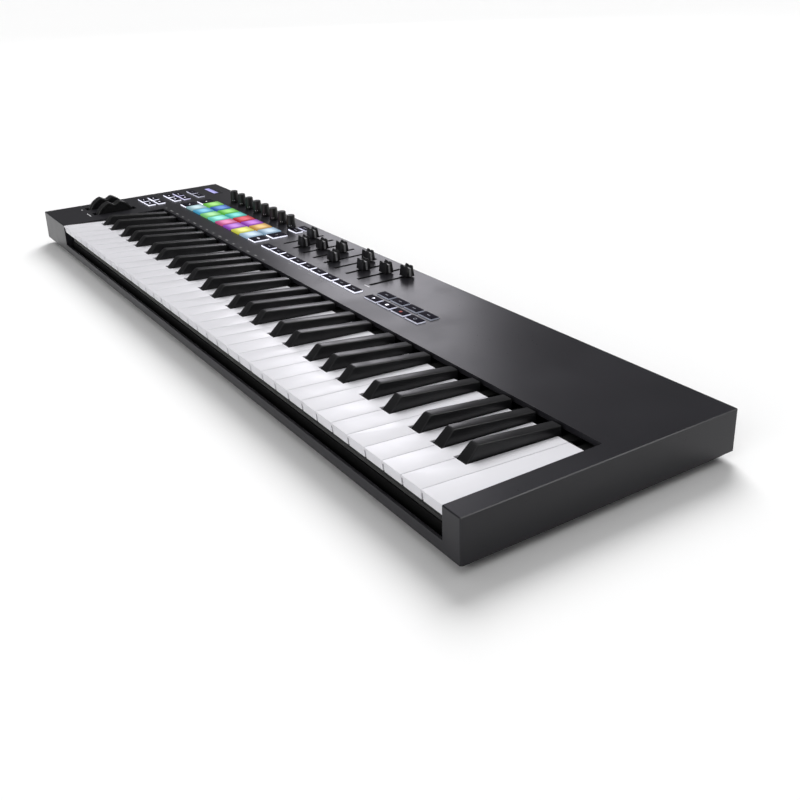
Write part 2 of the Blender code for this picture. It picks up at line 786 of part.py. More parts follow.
def main():
    clear_scene()
    make_top_case()
    make_bottom_tray()
    make_feet()
    make_keys()
    make_keybed()
    make_wheels()
    make_wheel_bracket()
    make_keypad("pads", pad_rects(), PAD_RISE, "pad_silicone", PAD_EDGE)
    for name, rects in button_rects().items():
        make_keypad(name, rects, BUTTON_RISE, "button_silicone", BUTTON_EDGE)
    make_knobs()
    make_faders()
    make_display()
    make_panel_board()
    make_main_board()
    make_sockets()
    carry_all()


main()
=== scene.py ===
"""Looks of a keyboard controller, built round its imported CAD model.

The CAD model holds every size, place and joint. This script adds the moulded edges, the keys' own
shapes, the lit pads and buttons, the printing and the studio that they are seen in.
"""

import json
import math

import bmesh
import bpy
from bpy.props import FloatProperty, FloatVectorProperty, PointerProperty
from mathutils import Euler, Matrix, Vector

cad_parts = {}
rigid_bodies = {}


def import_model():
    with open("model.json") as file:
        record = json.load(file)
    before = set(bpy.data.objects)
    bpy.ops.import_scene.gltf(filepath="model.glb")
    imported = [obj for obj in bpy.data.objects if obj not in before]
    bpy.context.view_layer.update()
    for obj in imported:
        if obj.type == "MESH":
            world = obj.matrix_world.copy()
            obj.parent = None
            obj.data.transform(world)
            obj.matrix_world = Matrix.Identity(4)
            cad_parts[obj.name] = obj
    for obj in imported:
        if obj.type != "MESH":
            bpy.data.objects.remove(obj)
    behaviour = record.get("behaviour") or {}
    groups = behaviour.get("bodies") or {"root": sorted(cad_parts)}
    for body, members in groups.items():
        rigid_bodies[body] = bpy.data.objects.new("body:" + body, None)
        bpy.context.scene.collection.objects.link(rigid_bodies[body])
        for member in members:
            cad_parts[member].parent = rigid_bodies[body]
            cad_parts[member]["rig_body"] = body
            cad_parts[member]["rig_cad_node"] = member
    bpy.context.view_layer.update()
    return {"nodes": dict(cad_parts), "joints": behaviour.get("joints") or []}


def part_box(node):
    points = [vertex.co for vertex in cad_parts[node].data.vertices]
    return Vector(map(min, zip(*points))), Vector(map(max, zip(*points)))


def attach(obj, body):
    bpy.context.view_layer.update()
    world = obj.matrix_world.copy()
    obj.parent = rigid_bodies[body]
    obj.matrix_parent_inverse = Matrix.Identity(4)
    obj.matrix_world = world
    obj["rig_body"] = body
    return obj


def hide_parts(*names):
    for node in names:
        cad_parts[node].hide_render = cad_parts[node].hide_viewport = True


bl_info = {
    "name": "Keyboard Controller Looks",
    "version": (1, 0, 0),
    "blender": (4, 5, 0),
    "location": "View3D > Sidebar > Keyboard",
    "description": "Builds the visible pieces of a keyboard controller round its CAD frame",
    "category": "Add Mesh",
}

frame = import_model()
JOINTS = {joint["child"]: joint for joint in frame["joints"]}
CASE_LOW, CASE_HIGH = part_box("top_case")
DECK = CASE_HIGH.z
SOCKET_LEVEL = CASE_LOW.z + 0.0125

# The keys' places follow from the combs: the first key's left side and the last key's right side.
KEY_GAP = 0.0009
SEEN_GAP = 0.0004  # between two finished white keys
WHITE_COUNT = 36
KEYS_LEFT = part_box("white_keys_cegb_1")[0].x - KEY_GAP / 2
KEYS_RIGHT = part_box("white_key_top_c")[1].x + KEY_GAP / 2
WHITE_PITCH = (KEYS_RIGHT - KEYS_LEFT) / WHITE_COUNT
HINGE = Vector((0, *JOINTS["white_key_top_c"]["pos_m"][1:]))
KEY_TILT = math.radians(2.8)
BLACK_HALF = 0.0059

# One octave: which comb a white key belongs to, and how far each black key stands off its line.
WHITE_COMB = ("cegb", "dfa", "cegb", "dfa", "cegb", "dfa", "cegb")
BLACK_OFFSET = {0: -0.0038, 1: 0.0030, 3: -0.0046, 4: 0.0, 5: 0.0046}
TONGUE_LEVEL = {"cegb": 0.0037, "dfa": 0.0001, "black": -0.0035}

LIT_WHITE = (0.86, 0.87, 1.0)
KNOB_COUNT = 8
FADER_COUNT = 9
FADER_PITCH = 0.0243
INK = 0.00004  # how far printing stands up


# ---- Modelling by hand ----------------------------------------------------------------------------


def only(obj):
    """Makes one object the whole selection."""
    bpy.ops.object.select_all(action="DESELECT")
    obj.select_set(True)
    bpy.context.view_layer.objects.active = obj
    return obj


def settle(obj, name):
    """Names an object and moves its place, turn and scale into its mesh."""
    only(obj)
    obj.name = obj.data.name = name
    bpy.ops.object.transform_apply(location=True, rotation=True, scale=True)
    return obj


def block(name, low, high):
    low, high = Vector(low), Vector(high)
    bpy.ops.object.select_all(action="DESELECT")
    bpy.ops.mesh.primitive_cube_add(size=1, location=(low + high) / 2)
    bpy.context.object.scale = high - low
    return settle(bpy.context.object, name)


def post(name, low, high, width, segments):
    """A block with rounded upright edges."""
    return round_edges(block(name, low, high), lambda m, d: abs(d.z) > 0.9, width, segments)


def drum(name, centre, radius, depth, sides, axis="Z"):
    turn = {"X": (0, math.pi / 2, 0), "Y": (math.pi / 2, 0, 0), "Z": (0, 0, 0)}[axis]
    bpy.ops.object.select_all(action="DESELECT")
    bpy.ops.mesh.primitive_cylinder_add(
        vertices=sides, radius=radius, depth=depth, location=centre, rotation=turn
    )
    return settle(bpy.context.object, name)


def slab(name, low, high):
    """A flat sheet with no thickness yet, between two corners at one height."""
    low, high = Vector(low), Vector(high)
    bpy.ops.object.select_all(action="DESELECT")
    bpy.ops.mesh.primitive_plane_add(size=1, location=(low + high) / 2)
    bpy.context.object.scale = (high.x - low.x, high.y - low.y, 1)
    return settle(bpy.context.object, name)


def edit(obj):
    only(obj)
    bpy.ops.object.mode_set(mode="EDIT")
    bpy.ops.mesh.select_all(action="DESELECT")


def done():
    bpy.ops.object.mode_set(mode="OBJECT")


def pick(kind, test):
    """In edit mode, selects the verts, edges or faces whose middle and direction pass a test."""
    modes = {"verts": (True, False, False), "edges": (False, True, False), "faces": (False, False, True)}
    bpy.context.tool_settings.mesh_select_mode = modes[kind]
    bpy.ops.mesh.select_all(action="DESELECT")
    mesh = bpy.context.edit_object.data
    shape = bmesh.from_edit_mesh(mesh)
    shape.normal_update()
    for item in list(getattr(shape, kind)):
        if kind == "verts":
            middle, direction = item.co, item.normal
        elif kind == "edges":
            ends = [v.co for v in item.verts]
            middle, direction = (ends[0] + ends[1]) / 2, (ends[1] - ends[0]).normalized()
        else:
            middle, direction = item.calc_center_median(), item.normal
        if test(middle, direction):
            item.select_set(True)
    shape.select_flush_mode()
    bmesh.update_edit_mesh(mesh)


def pick_all():
    bpy.ops.mesh.select_all(action="SELECT")


def push(vector):
    bpy.ops.transform.translate(value=vector)


def pull(vector, reach):
    """Moves the selection and, fading out over a reach, what stands round it."""
    bpy.ops.transform.translate(
        value=vector, use_proportional_edit=True, proportional_edit_falloff="SMOOTH", proportional_size=reach
    )


def extrude(vector):
    bpy.ops.mesh.extrude_region_move(TRANSFORM_OT_translate={"value": vector})


def inset(width, depth=0.0):
    bpy.ops.mesh.inset(thickness=width, depth=depth)


def round_off(width, segments):
    bpy.ops.mesh.bevel(offset=width, segments=segments, affect="EDGES", clamp_overlap=True)


def round_edges(obj, test, width, segments):
    """Rounds the edges of an object that pass a test."""
    edit(obj)
    pick("edges", test)
    round_off(width, segments)
    done()
    return obj


def slice_at(point, normal):
    pick_all()
    bpy.ops.mesh.bisect(plane_co=point, plane_no=normal)


def face_out():
    pick_all()
    bpy.ops.mesh.normals_make_consistent(inside=False)


def smooth(obj, degrees=35):
    only(obj)
    bpy.ops.object.shade_smooth_by_angle(angle=math.radians(degrees))
    return obj


def apply_modifier(obj, kind, **settings):
    only(obj)
    modifier = obj.modifiers.new(kind.title(), kind)
    for key, value in settings.items():
        setattr(modifier, key, value)
    bpy.ops.object.modifier_apply(modifier=modifier.name)


def boolean(obj, other, operation):
    apply_modifier(obj, "BOOLEAN", object=other, operation=operation, solver="EXACT")
    bpy.data.objects.remove(other, do_unlink=True)


def join(objects, name):
    only(objects[0])
    for obj in objects[1:]:
        obj.select_set(True)
    bpy.ops.object.join()
    objects[0].name = objects[0].data.name = name
    return objects[0]


def copy_of(obj, name, matrix):
    """A copy with its own mesh, moved by a matrix."""
    piece = obj.copy()
    piece.data = obj.data.copy()
    piece.data.transform(matrix)
    piece.name = piece.data.name = name
    bpy.context.scene.collection.objects.link(piece)
    return piece


def drop(*objects):
    for obj in objects:
        bpy.data.objects.remove(obj, do_unlink=True)


def dress(obj, *materials):
    """Fills an object's material slots in order, which keeps the faces' slot numbers."""
    slots = obj.data.materials
    while len(slots) < len(materials):
        slots.append(None)
    for index, look in enumerate(materials):
        slots[index] = look
    return obj


def paint_faces(obj, index, test):
    """Gives one of the piece's materials to the faces that pass a test on middle and normal."""
    for face in obj.data.polygons:
        if test(face.center, face.normal):
            face.material_index = index
    return obj


def fit(obj, body, slot, *nodes):
    """Hangs a piece on its body, and lets it stand for CAD nodes."""
    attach(obj, body)
    if nodes:
        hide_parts(*nodes)


def hang(obj, look, body, slot, *nodes):
    """Gives a piece one finish and hangs it on its body."""
    dress(obj, material(look))
    fit(obj, body, slot, *nodes)


def centre_of(node):
    low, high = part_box(node)
    return (low + high) / 2


def softened_copy(node, name, width):
    """A CAD node's own shape with its sharp edges rounded as a mould leaves them."""
    source = frame["nodes"][node]
    piece = copy_of(source, name, Matrix.Identity(4))
    piece.parent = None
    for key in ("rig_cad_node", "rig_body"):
        if key in piece:
            del piece[key]
    edit(piece)
    pick_all()
    bpy.ops.mesh.remove_doubles(threshold=0.000002)
    bpy.ops.mesh.dissolve_limited(angle_limit=math.radians(0.6))
    done()
    apply_modifier(
        piece,
        "BEVEL",
        width=width,
        segments=2,
        limit_method="ANGLE",
        angle_limit=math.radians(35),
        use_clamp_overlap=True,
    )
    smooth(piece, 40)
    apply_modifier(piece, "WEIGHTED_NORMAL", keep_sharp=True, weight=100)
    return piece


# ---- Finishes ---------------------------------------------------------------------------------------


class Field:
    """A number that varies over a surface, with arithmetic that adds Math nodes."""

    def __init__(self, finish, socket):
        self.finish = finish
        self.socket = socket

    def _math(self, operation, first, second):
        node = self.finish.node("ShaderNodeMath", {"operation": operation}, {0: first, 1: second})
        return Field(self.finish, node.outputs[0])

    def __add__(self, other):
        return self._math("ADD", self, other)

    def __sub__(self, other):
        return self._math("SUBTRACT", self, other)

    def __rsub__(self, other):
        return self._math("SUBTRACT", other, self)

    def __mul__(self, other):
        return self._math("MULTIPLY", self, other)

    def __gt__(self, other):
        return self._math("GREATER_THAN", self, other)

    def __lt__(self, other):
        return self._math("LESS_THAN", self, other)

    __radd__ = __add__
    __rmul__ = __mul__


class Finish:
    """One material and the nodes that make it."""

    def __init__(self, name):
        self.material = bpy.data.materials.new(name)
        self.material.use_nodes = True
        self.tree = self.material.node_tree
        self.shader = self.tree.nodes["Principled BSDF"]
        self.place = self.node("ShaderNodeTexCoord").outputs["Object"]

    def node(self, kind, settings=None, values=None):
        node = self.tree.nodes.new(kind)
        for key, value in (settings or {}).items():
            setattr(node, key, value)
        for key, value in (values or {}).items():
            self.feed(node.inputs[key], value)
        return node

    def feed(self, socket, value):
        if isinstance(value, Field):
            value = value.socket
        if isinstance(value, bpy.types.NodeSocket):
            self.tree.links.new(value, socket)
        else:
            socket.default_value = value

    def made(self, **values):
        """The material, once the shader's sockets are set or linked. Underscores stand for spaces."""
        for key, value in values.items():
            self.feed(self.shader.inputs[key.replace("_", " ")], value)
        return self.material

    def noise(self, size, detail=3.0, roughness=0.5, place=None):
        """Noise from 0 to 1, whose patches are about as wide as size, in metres."""
        values = {"Vector": place or self.place, "Scale": 1 / size, "Detail": detail, "Roughness": roughness}
        return Field(self, self.node("ShaderNodeTexNoise", None, values).outputs["Fac"])

    def stretched(self, scale):
        return self.node("ShaderNodeMapping", None, {"Vector": self.place, "Scale": scale}).outputs["Vector"]

    def shade(self, factor, dark, light):
        """A colour between two colours."""
        settings = {"data_type": "RGBA"}
        values = {0: factor, 6: (*dark, 1), 7: (*light, 1)}
        return self.node("ShaderNodeMix", settings, values).outputs[2]

    def between(self, factor, low, high):
        return factor * (high - low) + low

    def ramp(self, factor, low, high):
        """0 below low, 1 above high, smooth between."""
        settings = {"interpolation_type": "SMOOTHSTEP"}
        values = {"Value": factor, "From Min": low, "From Max": high, "To Min": 0.0, "To Max": 1.0}
        return Field(self, self.node("ShaderNodeMapRange", settings, values).outputs["Result"])

    def axis(self, name):
        split = self.node("ShaderNodeSeparateXYZ", None, {"Vector": self.place})
        return Field(self, split.outputs[name])

    def one_sided(self, operation, value):
        """A Math node that takes one value."""
        return Field(self, self.node("ShaderNodeMath", {"operation": operation}, {0: value}).outputs[0])

    def bump(self, height, distance, strength=1.0):
        values = {"Height": height, "Distance": distance, "Strength": strength}
        return self.node("ShaderNodeBump", None, values).outputs["Normal"]


def tint(colour, factor):
    return tuple(channel * factor for channel in colour)


def moulded(name, colour, roughness, grain, relief, specular=0.5):
    """Spark-eroded plastic: a fine grain, slow changes of gloss, and a slight handling haze."""
    finish = Finish(name)
    fine = finish.noise(grain, 2.0)
    speck = finish.noise(grain * 4, 4.0, 0.6)
    haze = finish.ramp(finish.noise(0.06, 4.0, 0.55), 0.35, 0.75)
    return finish.made(
        Base_Color=finish.shade(speck * 0.5 + haze * 0.5, tint(colour, 0.86), tint(colour, 1.14)),
        Roughness=finish.between(speck * 0.4 + haze * 0.6, roughness - 0.05, roughness + 0.06),
        Normal=finish.bump(fine, relief, 0.5),
        Specular_IOR_Level=specular,
    )


def key_gloss(name, colour, roughness, relief):
    """Polished key plastic with faint flow marks along the key and finger-worn gloss."""
    finish = Finish(name)
    flow = finish.noise(0.012, 3.0, 0.5, finish.stretched((1.0, 0.12, 1.0)))
    touch = finish.ramp(finish.noise(0.018, 3.0), 0.40, 0.70)
    grain = finish.noise(0.0006, 2.0)
    return finish.made(
        Base_Color=finish.shade(flow, tint(colour, 0.965), tint(colour, 1.02)),
        Roughness=finish.between(touch, roughness, roughness + 0.10),
        Normal=finish.bump(grain * 0.5 + flow * 0.5, relief, 0.4),
    )


def printed(name, colour, glow=0.0):
    """Screen-printed ink: nearly flat, slightly broken at the scale of the mesh."""
    finish = Finish(name)
    mesh = finish.noise(0.0004, 2.0)
    shade = finish.shade(mesh, tint(colour, 0.9), colour)
    light = {"Emission_Color": shade, "Emission_Strength": glow} if glow else {}
    return finish.made(Base_Color=shade, Roughness=finish.between(mesh, 0.45, 0.6), **light)


def lit_edge(name, colour, glow):
    """Translucent silicone with light behind it, a little uneven along its run."""
    finish = Finish(name)
    patch = finish.ramp(finish.noise(0.009, 2.0), 0.3, 0.7)
    light = finish.shade(patch, tint(colour, 0.72), colour)
    return finish.made(
        Base_Color=light,
        Roughness=finish.between(patch, 0.45, 0.6),
        Emission_Color=light,
        Emission_Strength=glow,
    )


def glowing_pad(name, centre, colour):
    """A silicone pad over a light diode: pale over the diode, deeper and darker towards the rim."""
    finish = Finish(name)
    deep = tuple(0.5 * channel**2 for channel in colour)
    glow = 1.0
    for axis, middle, start, end in (("X", centre.x, 0.0040, 0.0130), ("Y", centre.y, 0.0010, 0.0112)):
        away = finish.one_sided("ABSOLUTE", finish.axis(axis) - middle)
        glow = glow * (1 - finish.ramp(away, start, end))
    cloud = finish.noise(0.004, 3.0)
    light = finish.shade(glow * 0.94 + cloud * 0.06, deep, colour)
    return finish.made(
        Base_Color=finish.shade(cloud, tint(deep, 0.10), tint(deep, 0.20)),
        Roughness=finish.between(cloud, 0.42, 0.56),
        Normal=finish.bump(finish.noise(0.0006, 2.0), 0.00002, 0.5),
        Specular_IOR_Level=0.3,
        Emission_Color=light,
        Emission_Strength=1.05,
    )


def display_light(name, low, high):
    """A lit graphic display: a pale field with rows of unreadable darker bars, dimmer to the rear."""
    finish = Finish(name)
    up = (finish.axis("Y") - low.y) * (1 / (high.y - low.y))
    cells = finish.noise(0.0030, 1.0, 0.5, finish.stretched((1.0, 0.01, 1.0)))
    rows = finish.one_sided("SINE", up * 25.0)
    bars = (cells > 0.52) * (rows > 0.25)
    dim = finish.ramp(up, 0.2, 1.1)
    light = finish.shade(bars * 0.5 + dim * 0.5, (0.52, 0.50, 0.96), (0.12, 0.11, 0.30))
    return finish.made(
        Base_Color=finish.shade(bars, (0.03, 0.03, 0.05), (0.02, 0.02, 0.03)),
        Roughness=finish.between(cells, 0.10, 0.16),
        Emission_Color=light,
        Emission_Strength=1.0,
    )


def brushed_metal(name, colour, roughness):
    finish = Finish(name)
    lines = finish.noise(0.0006, 3.0, 0.6, finish.stretched((0.06, 1.0, 1.0)))
    blotch = finish.noise(0.010, 3.0)
    return finish.made(
        Base_Color=finish.shade(blotch, tint(colour, 0.85), colour),
        Metallic=1.0,
        Roughness=finish.between(lines * 0.6 + blotch * 0.4, roughness - 0.08, roughness + 0.12),
        Normal=finish.bump(lines, 0.00001, 0.5),
    )


def circuit_board(name):
    """Solder mask over tracks, with bare pads in a grid."""
    finish = Finish(name)
    cells = finish.node(
        "ShaderNodeTexVoronoi",
        {"distance": "MANHATTAN", "feature": "F1"},
        {"Vector": finish.place, "Scale": 160.0, "Randomness": 0.55},
    )
    distance = Field(finish, cells.outputs["Distance"])
    tracks = finish.ramp(finish.noise(0.004, 1.0, 0.4, finish.stretched((1.0, 0.1, 1.0))), 0.48, 0.52)
    mask = finish.shade(tracks, (0.010, 0.070, 0.030), (0.025, 0.150, 0.060))
    pads = distance < 0.12
    colour = finish.node(
        "ShaderNodeMix", {"data_type": "RGBA"}, {0: pads, 6: mask, 7: (0.75, 0.70, 0.55, 1)}
    ).outputs[2]
    return finish.made(
        Base_Color=colour,
        Metallic=pads * 0.9,
        Roughness=finish.between(tracks, 0.30, 0.42),
        Normal=finish.bump(tracks, 0.00004, 0.5),
    )


def felt_cloth(name, colour):
    finish = Finish(name)
    fibres = finish.noise(0.0009, 6.0, 0.75)
    clumps = finish.noise(0.006, 3.0)
    return finish.made(
        Base_Color=finish.shade(fibres * 0.7 + clumps * 0.3, tint(colour, 0.5), tint(colour, 1.4)),
        Roughness=finish.between(fibres, 0.9, 1.0),
        Normal=finish.bump(fibres, 0.0003, 0.8),
        Sheen_Weight=0.4,
    )


def studio_floor(name, colour):
    finish = Finish(name)
    drift = finish.noise(0.8, 2.0)
    return finish.made(
        Base_Color=finish.shade(drift, tint(colour, 0.995), colour),
        Roughness=finish.between(drift, 0.85, 0.95),
        Specular_IOR_Level=0.1,
    )


# Colour, roughness, grain size, grain height, and the share of mirror shine where it isn't 0.5.
MOULDED = {
    # The near-black inner finish also serves as painted shade on the keys' hinge tongues.
    "inner_black": ((0.003, 0.003, 0.003), 0.80, 0.0010, 0.00004, 0.2),
    "wheel_rubber": ((0.009, 0.009, 0.010), 0.45, 0.0007, 0.00003),
    "knob_rubber": ((0.006, 0.006, 0.006), 0.45, 0.0006, 0.00003),
    "cap_black": ((0.010, 0.010, 0.011), 0.38, 0.0006, 0.00002),
    "button_top": ((0.008, 0.007, 0.013), 0.65, 0.0006, 0.00002, 0.06),
    "display_glass": ((0.010, 0.010, 0.013), 0.16, 0.01, 0.000001),
    "socket_black": ((0.010, 0.010, 0.010), 0.35, 0.0008, 0.00002),
    "foot_rubber": ((0.012, 0.012, 0.012), 0.85, 0.0010, 0.00006),
}

# Colour, and for lit marks their glow.
INKS = {
    "white_ink": ((0.62, 0.62, 0.64),),
    "black_ink": ((0.003, 0.003, 0.003),),
    "faint_ink": ((0.20, 0.20, 0.20),),
    "cap_line": ((0.30, 0.30, 0.31),),
    "lit_ink": ((0.90, 0.90, 1.0), 0.8),
    "red_ink": ((0.28, 0.03, 0.02), 0.25),
    "grey_ink": ((0.22, 0.23, 0.27), 0.08),
}

# Colour and glow.
EDGES = {
    "violet_edge": ((0.74, 0.72, 0.98), 0.8),
    "pale_edge": ((0.70, 0.71, 0.84), 0.55),
    "dim_edge": ((0.40, 0.42, 0.50), 0.35),
}

# Colour and roughness.
METALS = {
    "slider_metal": ((0.25, 0.25, 0.26), 0.40),
    "steel": ((0.60, 0.61, 0.63), 0.30),
    "brass": ((0.72, 0.55, 0.26), 0.28),
}

TABLES = ((moulded, MOULDED), (printed, INKS), (lit_edge, EDGES), (brushed_metal, METALS))


def special_finish(name):
    """The finishes that have a maker of their own, or a colour from the panel."""
    look = bpy.context.scene.keyboard_look
    if name == "case_black":
        return moulded(name, look.case_colour, 0.31, 0.0006, 0.000012, 0.25)
    if name == "tray_black":
        return moulded(name, tint(look.case_colour, 0.8), 0.5, 0.0010, 0.00004)
    if name == "white_key":
        return key_gloss(name, look.white_key_colour, 0.30, 0.000006)
    if name == "black_key":
        return key_gloss(name, look.black_key_colour, 0.30, 0.00002)
    if name == "bright_edge":
        return lit_edge(name, look.light_colour, 1.25)
    if name == "display_light":
        return display_light(name, *display_field())
    if name == "felt":
        return felt_cloth(name, (0.005, 0.005, 0.005))
    return circuit_board(name)


MATERIALS = {}


def material(name):
    """Each finish is made once, when the first piece asks for it."""
    if name not in MATERIALS:
        made = [maker(name, *table[name]) for maker, table in TABLES if name in table]
        MATERIALS[name] = made[0] if made else special_finish(name)
    return MATERIALS[name]


# ---- Places on the panel ----------------------------------------------------------------------------

SHEET_MARGIN = 0.0005
SHEET_HEIGHTS = (DECK - 0.0053, DECK - 0.0038)
CAP_FOOT = DECK - 0.0040
BUTTON = Vector((0.0215, 0.0100))
SQUARE_BUTTON = Vector((0.0198, 0.0198))
PAD = Vector((0.0225, 0.0225))

# Columns, where the rows stand as a share of the group's depth, button size, lit edge per row.
GROUPS = {
    "left_keypad_front": (2, (0.0, 1.0), BUTTON, ("bright_edge", "bright_edge")),
    "left_keypad_rear": (2, (0.0, 0.4022, 1.0), BUTTON, ("bright_edge", "violet_edge", "pale_edge")),
    "device_buttons": (1, (0.0, 1.0), BUTTON, ("bright_edge", "pale_edge")),
    "fader_buttons": (9, (0.0,), BUTTON, ("bright_edge",)),
    "transport_buttons": (4, (0.0, 1.0), BUTTON, ("pale_edge", "dim_edge")),
    "pad_buttons_left": (1, (0.0, 1.0), SQUARE_BUTTON, ("bright_edge", "bright_edge")),
    "pad_buttons_right": (1, (0.0, 1.0), SQUARE_BUTTON, ("bright_edge", "bright_edge")),
}


def grid_places(node, columns, row_shares, size):
    """Centres of a group's caps as (column, row, x, y), from the box of the sheet they stand on."""
    low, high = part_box(node)
    x0, x1 = low.x + SHEET_MARGIN + size.x / 2, high.x - SHEET_MARGIN - size.x / 2
    y0, y1 = low.y + SHEET_MARGIN + size.y / 2, high.y - SHEET_MARGIN - size.y / 2
    places = []
    for column in range(columns):
        x = x0 if columns == 1 else x0 + (x1 - x0) * column / (columns - 1)
        for row, share in enumerate(row_shares):
            places.append((column, row, x, y0 + (y1 - y0) * share))
    return places


def silicone_sheet(node, name, width, segments):
    """The dark sheet that a group's caps stand on."""
    low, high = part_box(node)
    bottom, top = SHEET_HEIGHTS
    sheet = post(name, (low.x, low.y, bottom), (high.x, high.y, top), width, segments)
    return dress(sheet, material("inner_black"))


def display_field():
    """Low and high corners of the lit part of the display."""
    low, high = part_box("display_lens")
    return low + Vector((0.0010, 0.0005, 0)), high - Vector((0.0062, 0.0048, 0))


def mark(name, x, y, width, depth, top, radius):
    """A printed mark: a thin layer of ink with rounded ends."""
    piece = slab(name, (x - width / 2, y - depth / 2, top), (x + width / 2, y + depth / 2, top))
    edit(piece)
    pick_all()
    bpy.ops.mesh.bevel(offset=radius, segments=3, affect="VERTICES")
    pick_all()
    extrude((0, 0, INK))
    face_out()
    done()
    return piece


# ---- Keys -------------------------------------------------------------------------------------------


def white_rear_edges(note):
    """How far in from each side of its cell a white key's rear part starts, left then right."""
    half = BLACK_HALF + 0.0012
    left, right = SEEN_GAP / 2, WHITE_PITCH - SEEN_GAP / 2
    if note - 1 in BLACK_OFFSET:
        left = BLACK_OFFSET[note - 1] + half
    if note in BLACK_OFFSET:
        right = WHITE_PITCH + BLACK_OFFSET[note] - half
    return left, right


def white_key_shape(name, note, sizes, level):
    """A white key in its own cell: a top plate that overhangs a narrower body."""
    top, bottom, length, notch, rear = 0.006, -0.0027, 0.1503, 0.105, 0.022
    left, right = SEEN_GAP / 2, WHITE_PITCH - SEEN_GAP / 2
    rear_left, rear_right = white_rear_edges(note)
    key = slab(name, (left, -length, top), (right, -rear, top))
    edit(key)
    for x, outer in ((rear_left, left), (rear_right, right)):
        if abs(x - outer) > 0.0001:
            slice_at((x, 0, top), (1, 0, 0))
            slice_at((0, -notch, top), (0, 1, 0))
    pick("faces", lambda m, n: m.y > -notch and not rear_left < m.x < rear_right)
    bpy.ops.mesh.delete(type="FACE")
    pick_all()
    bpy.ops.mesh.dissolve_limited(angle_limit=0.01)
    pick_all()
    extrude((0, 0, -sizes.plate))
    face_out()
    pick("faces", lambda m, n: n.z < -0.9)
    inset(sizes.overhang)
    extrude((0, 0, bottom - top + sizes.plate))
    face_out()
    pick("verts", lambda m, n: m.z < bottom + 0.0005 and m.y < -length + 0.002)
    push((0, 0.0010, 0))
    pick("edges", lambda m, d: abs(d.z) > 0.9 and m.y < -length + 0.0001)
    round_off(0.0003, 3)
    pick("edges", lambda m, d: m.z > top - 0.00001)
    round_off(sizes.key_round, 3)
    pick("edges", lambda m, d: abs(m.z - top + sizes.plate) < 0.00001 and m.y < -length + 0.0001)
    round_off(0.00025, 2)
    middle = (rear_left + rear_right) / 2
    tongue(middle, level, -rear - 0.001)
    done()
    smooth(key)
    return key


def tongue(middle, level, front):
    """Adds the hinge tongue that leads from a key to its comb's strip. Its dark colour, given in place_key,
    is painted shade under the deck.
    """
    rear, width, thickness = -0.002, 0.0095, 0.0016
    bpy.context.edit_object["tongue_front"] = front
    bpy.ops.mesh.primitive_cube_add(size=1, location=(middle, (front + rear) / 2, level + thickness / 2))
    bpy.ops.transform.resize(value=(width, rear - front, thickness))


def black_key_shape(name):
    """A black key about X = 0: upright lower body, then drafted sides and a sloping front."""
    half, front, rear, shoulder = BLACK_HALF, 0.1030, 0.017, 0.0050
    rise_front, rise_rear, run = 0.0166, 0.0123, 0.0105
    key = block(name, (-half, -front, -0.0036), (half, -rear, shoulder))
    edit(key)
    pick("faces", lambda m, n: n.z > 0.9)
    extrude((0, 0, rise_front - shoulder))
    pick("verts", lambda m, n: m.z > shoulder + 0.001 and m.y > -rear - 0.001)
    push((0, 0, rise_rear - rise_front))
    pick("verts", lambda m, n: m.z > shoulder + 0.001 and m.y < -front + 0.001)
    push((0, run, 0))
    for side in (-1, 1):
        pick("verts", lambda m, n: m.z > shoulder + 0.001 and m.x * side > 0 and m.y > -rear - 0.001)
        push((-side * 0.0008, 0, 0))
        pick("verts", lambda m, n: m.z > shoulder + 0.001 and m.x * side > 0 and m.y < -rear - 0.01)
        push((-side * 0.0013, 0, 0))
    pick("edges", lambda m, d: m.z > shoulder + 0.001 and abs(d.x) > 0.9 and m.y < -front + run + 0.001)
    round_off(0.0020, 4)
    pick("edges", lambda m, d: m.z > shoulder + 0.0002 and (abs(d.x) < 0.9 or m.y > -rear - 0.001))
    round_off(0.0007, 3)
    pick("edges", lambda m, d: abs(m.z - shoulder) < 0.0001 and m.y < -front + 0.001)
    round_off(0.0012, 2)
    tongue(0, TONGUE_LEVEL["black"], -rear - 0.001)
    done()
    smooth(key)
    return key


def key_matrix(x):
    return Matrix.Translation(HINGE + Vector((x, 0, 0))) @ Matrix.Rotation(-KEY_TILT, 4, "X")


def place_key(shape, name, x, body, slot):
    """Sets a copy of a key's shape on its body. What lies behind the key's own rear end, the hinge tongue, is
    painted near-black as painted shade under the deck.
    """
    key = copy_of(shape, name, key_matrix(x))
    dress(key, material(slot), material("inner_black"))
    behind = (key_matrix(x) @ Vector((0, shape["tongue_front"] + 0.0012, 0))).y
    # Painted shade: the faces behind the key's rear end take the near-black inner finish, for the shade under
    # the deck.
    paint_faces(key, 1, lambda m, n: m.y > behind)
    fit(key, body, slot, body)


# ---- Properties -------------------------------------------------------------------------------------


class KeySizes(bpy.types.PropertyGroup):
    """Fine sizes of the keys."""

    plate: FloatProperty(
        name="Top plate",
        description="Thickness of a white key's overhanging top",
        default=0.0020,
        unit="LENGTH",
    )
    overhang: FloatProperty(
        name="Overhang",
        description="How far the top stands out over the body",
        default=0.0008,
        unit="LENGTH",
    )
    key_round: FloatProperty(
        name="Edge round",
        description="Width of the rounded top edges",
        default=0.0004,
        unit="LENGTH",
    )


class Look(bpy.types.PropertyGroup):
    """Colours of the plastics and of the light behind the buttons."""

    case_colour: FloatVectorProperty(
        name="Case",
        description="Colour of the case",
        default=(0.0195, 0.019, 0.0225),
        subtype="COLOR",
    )
    white_key_colour: FloatVectorProperty(
        name="White keys",
        description="Colour of the white keys",
        default=(0.72, 0.715, 0.75),
        subtype="COLOR",
    )
    black_key_colour: FloatVectorProperty(
        name="Black keys",
        description="Colour of the black keys",
        default=(0.008, 0.008, 0.009),
        subtype="COLOR",
    )
    light_colour: FloatVectorProperty(
        name="Button light",
        description="Colour behind the bright buttons",
        default=LIT_WHITE,
        subtype="COLOR",
    )


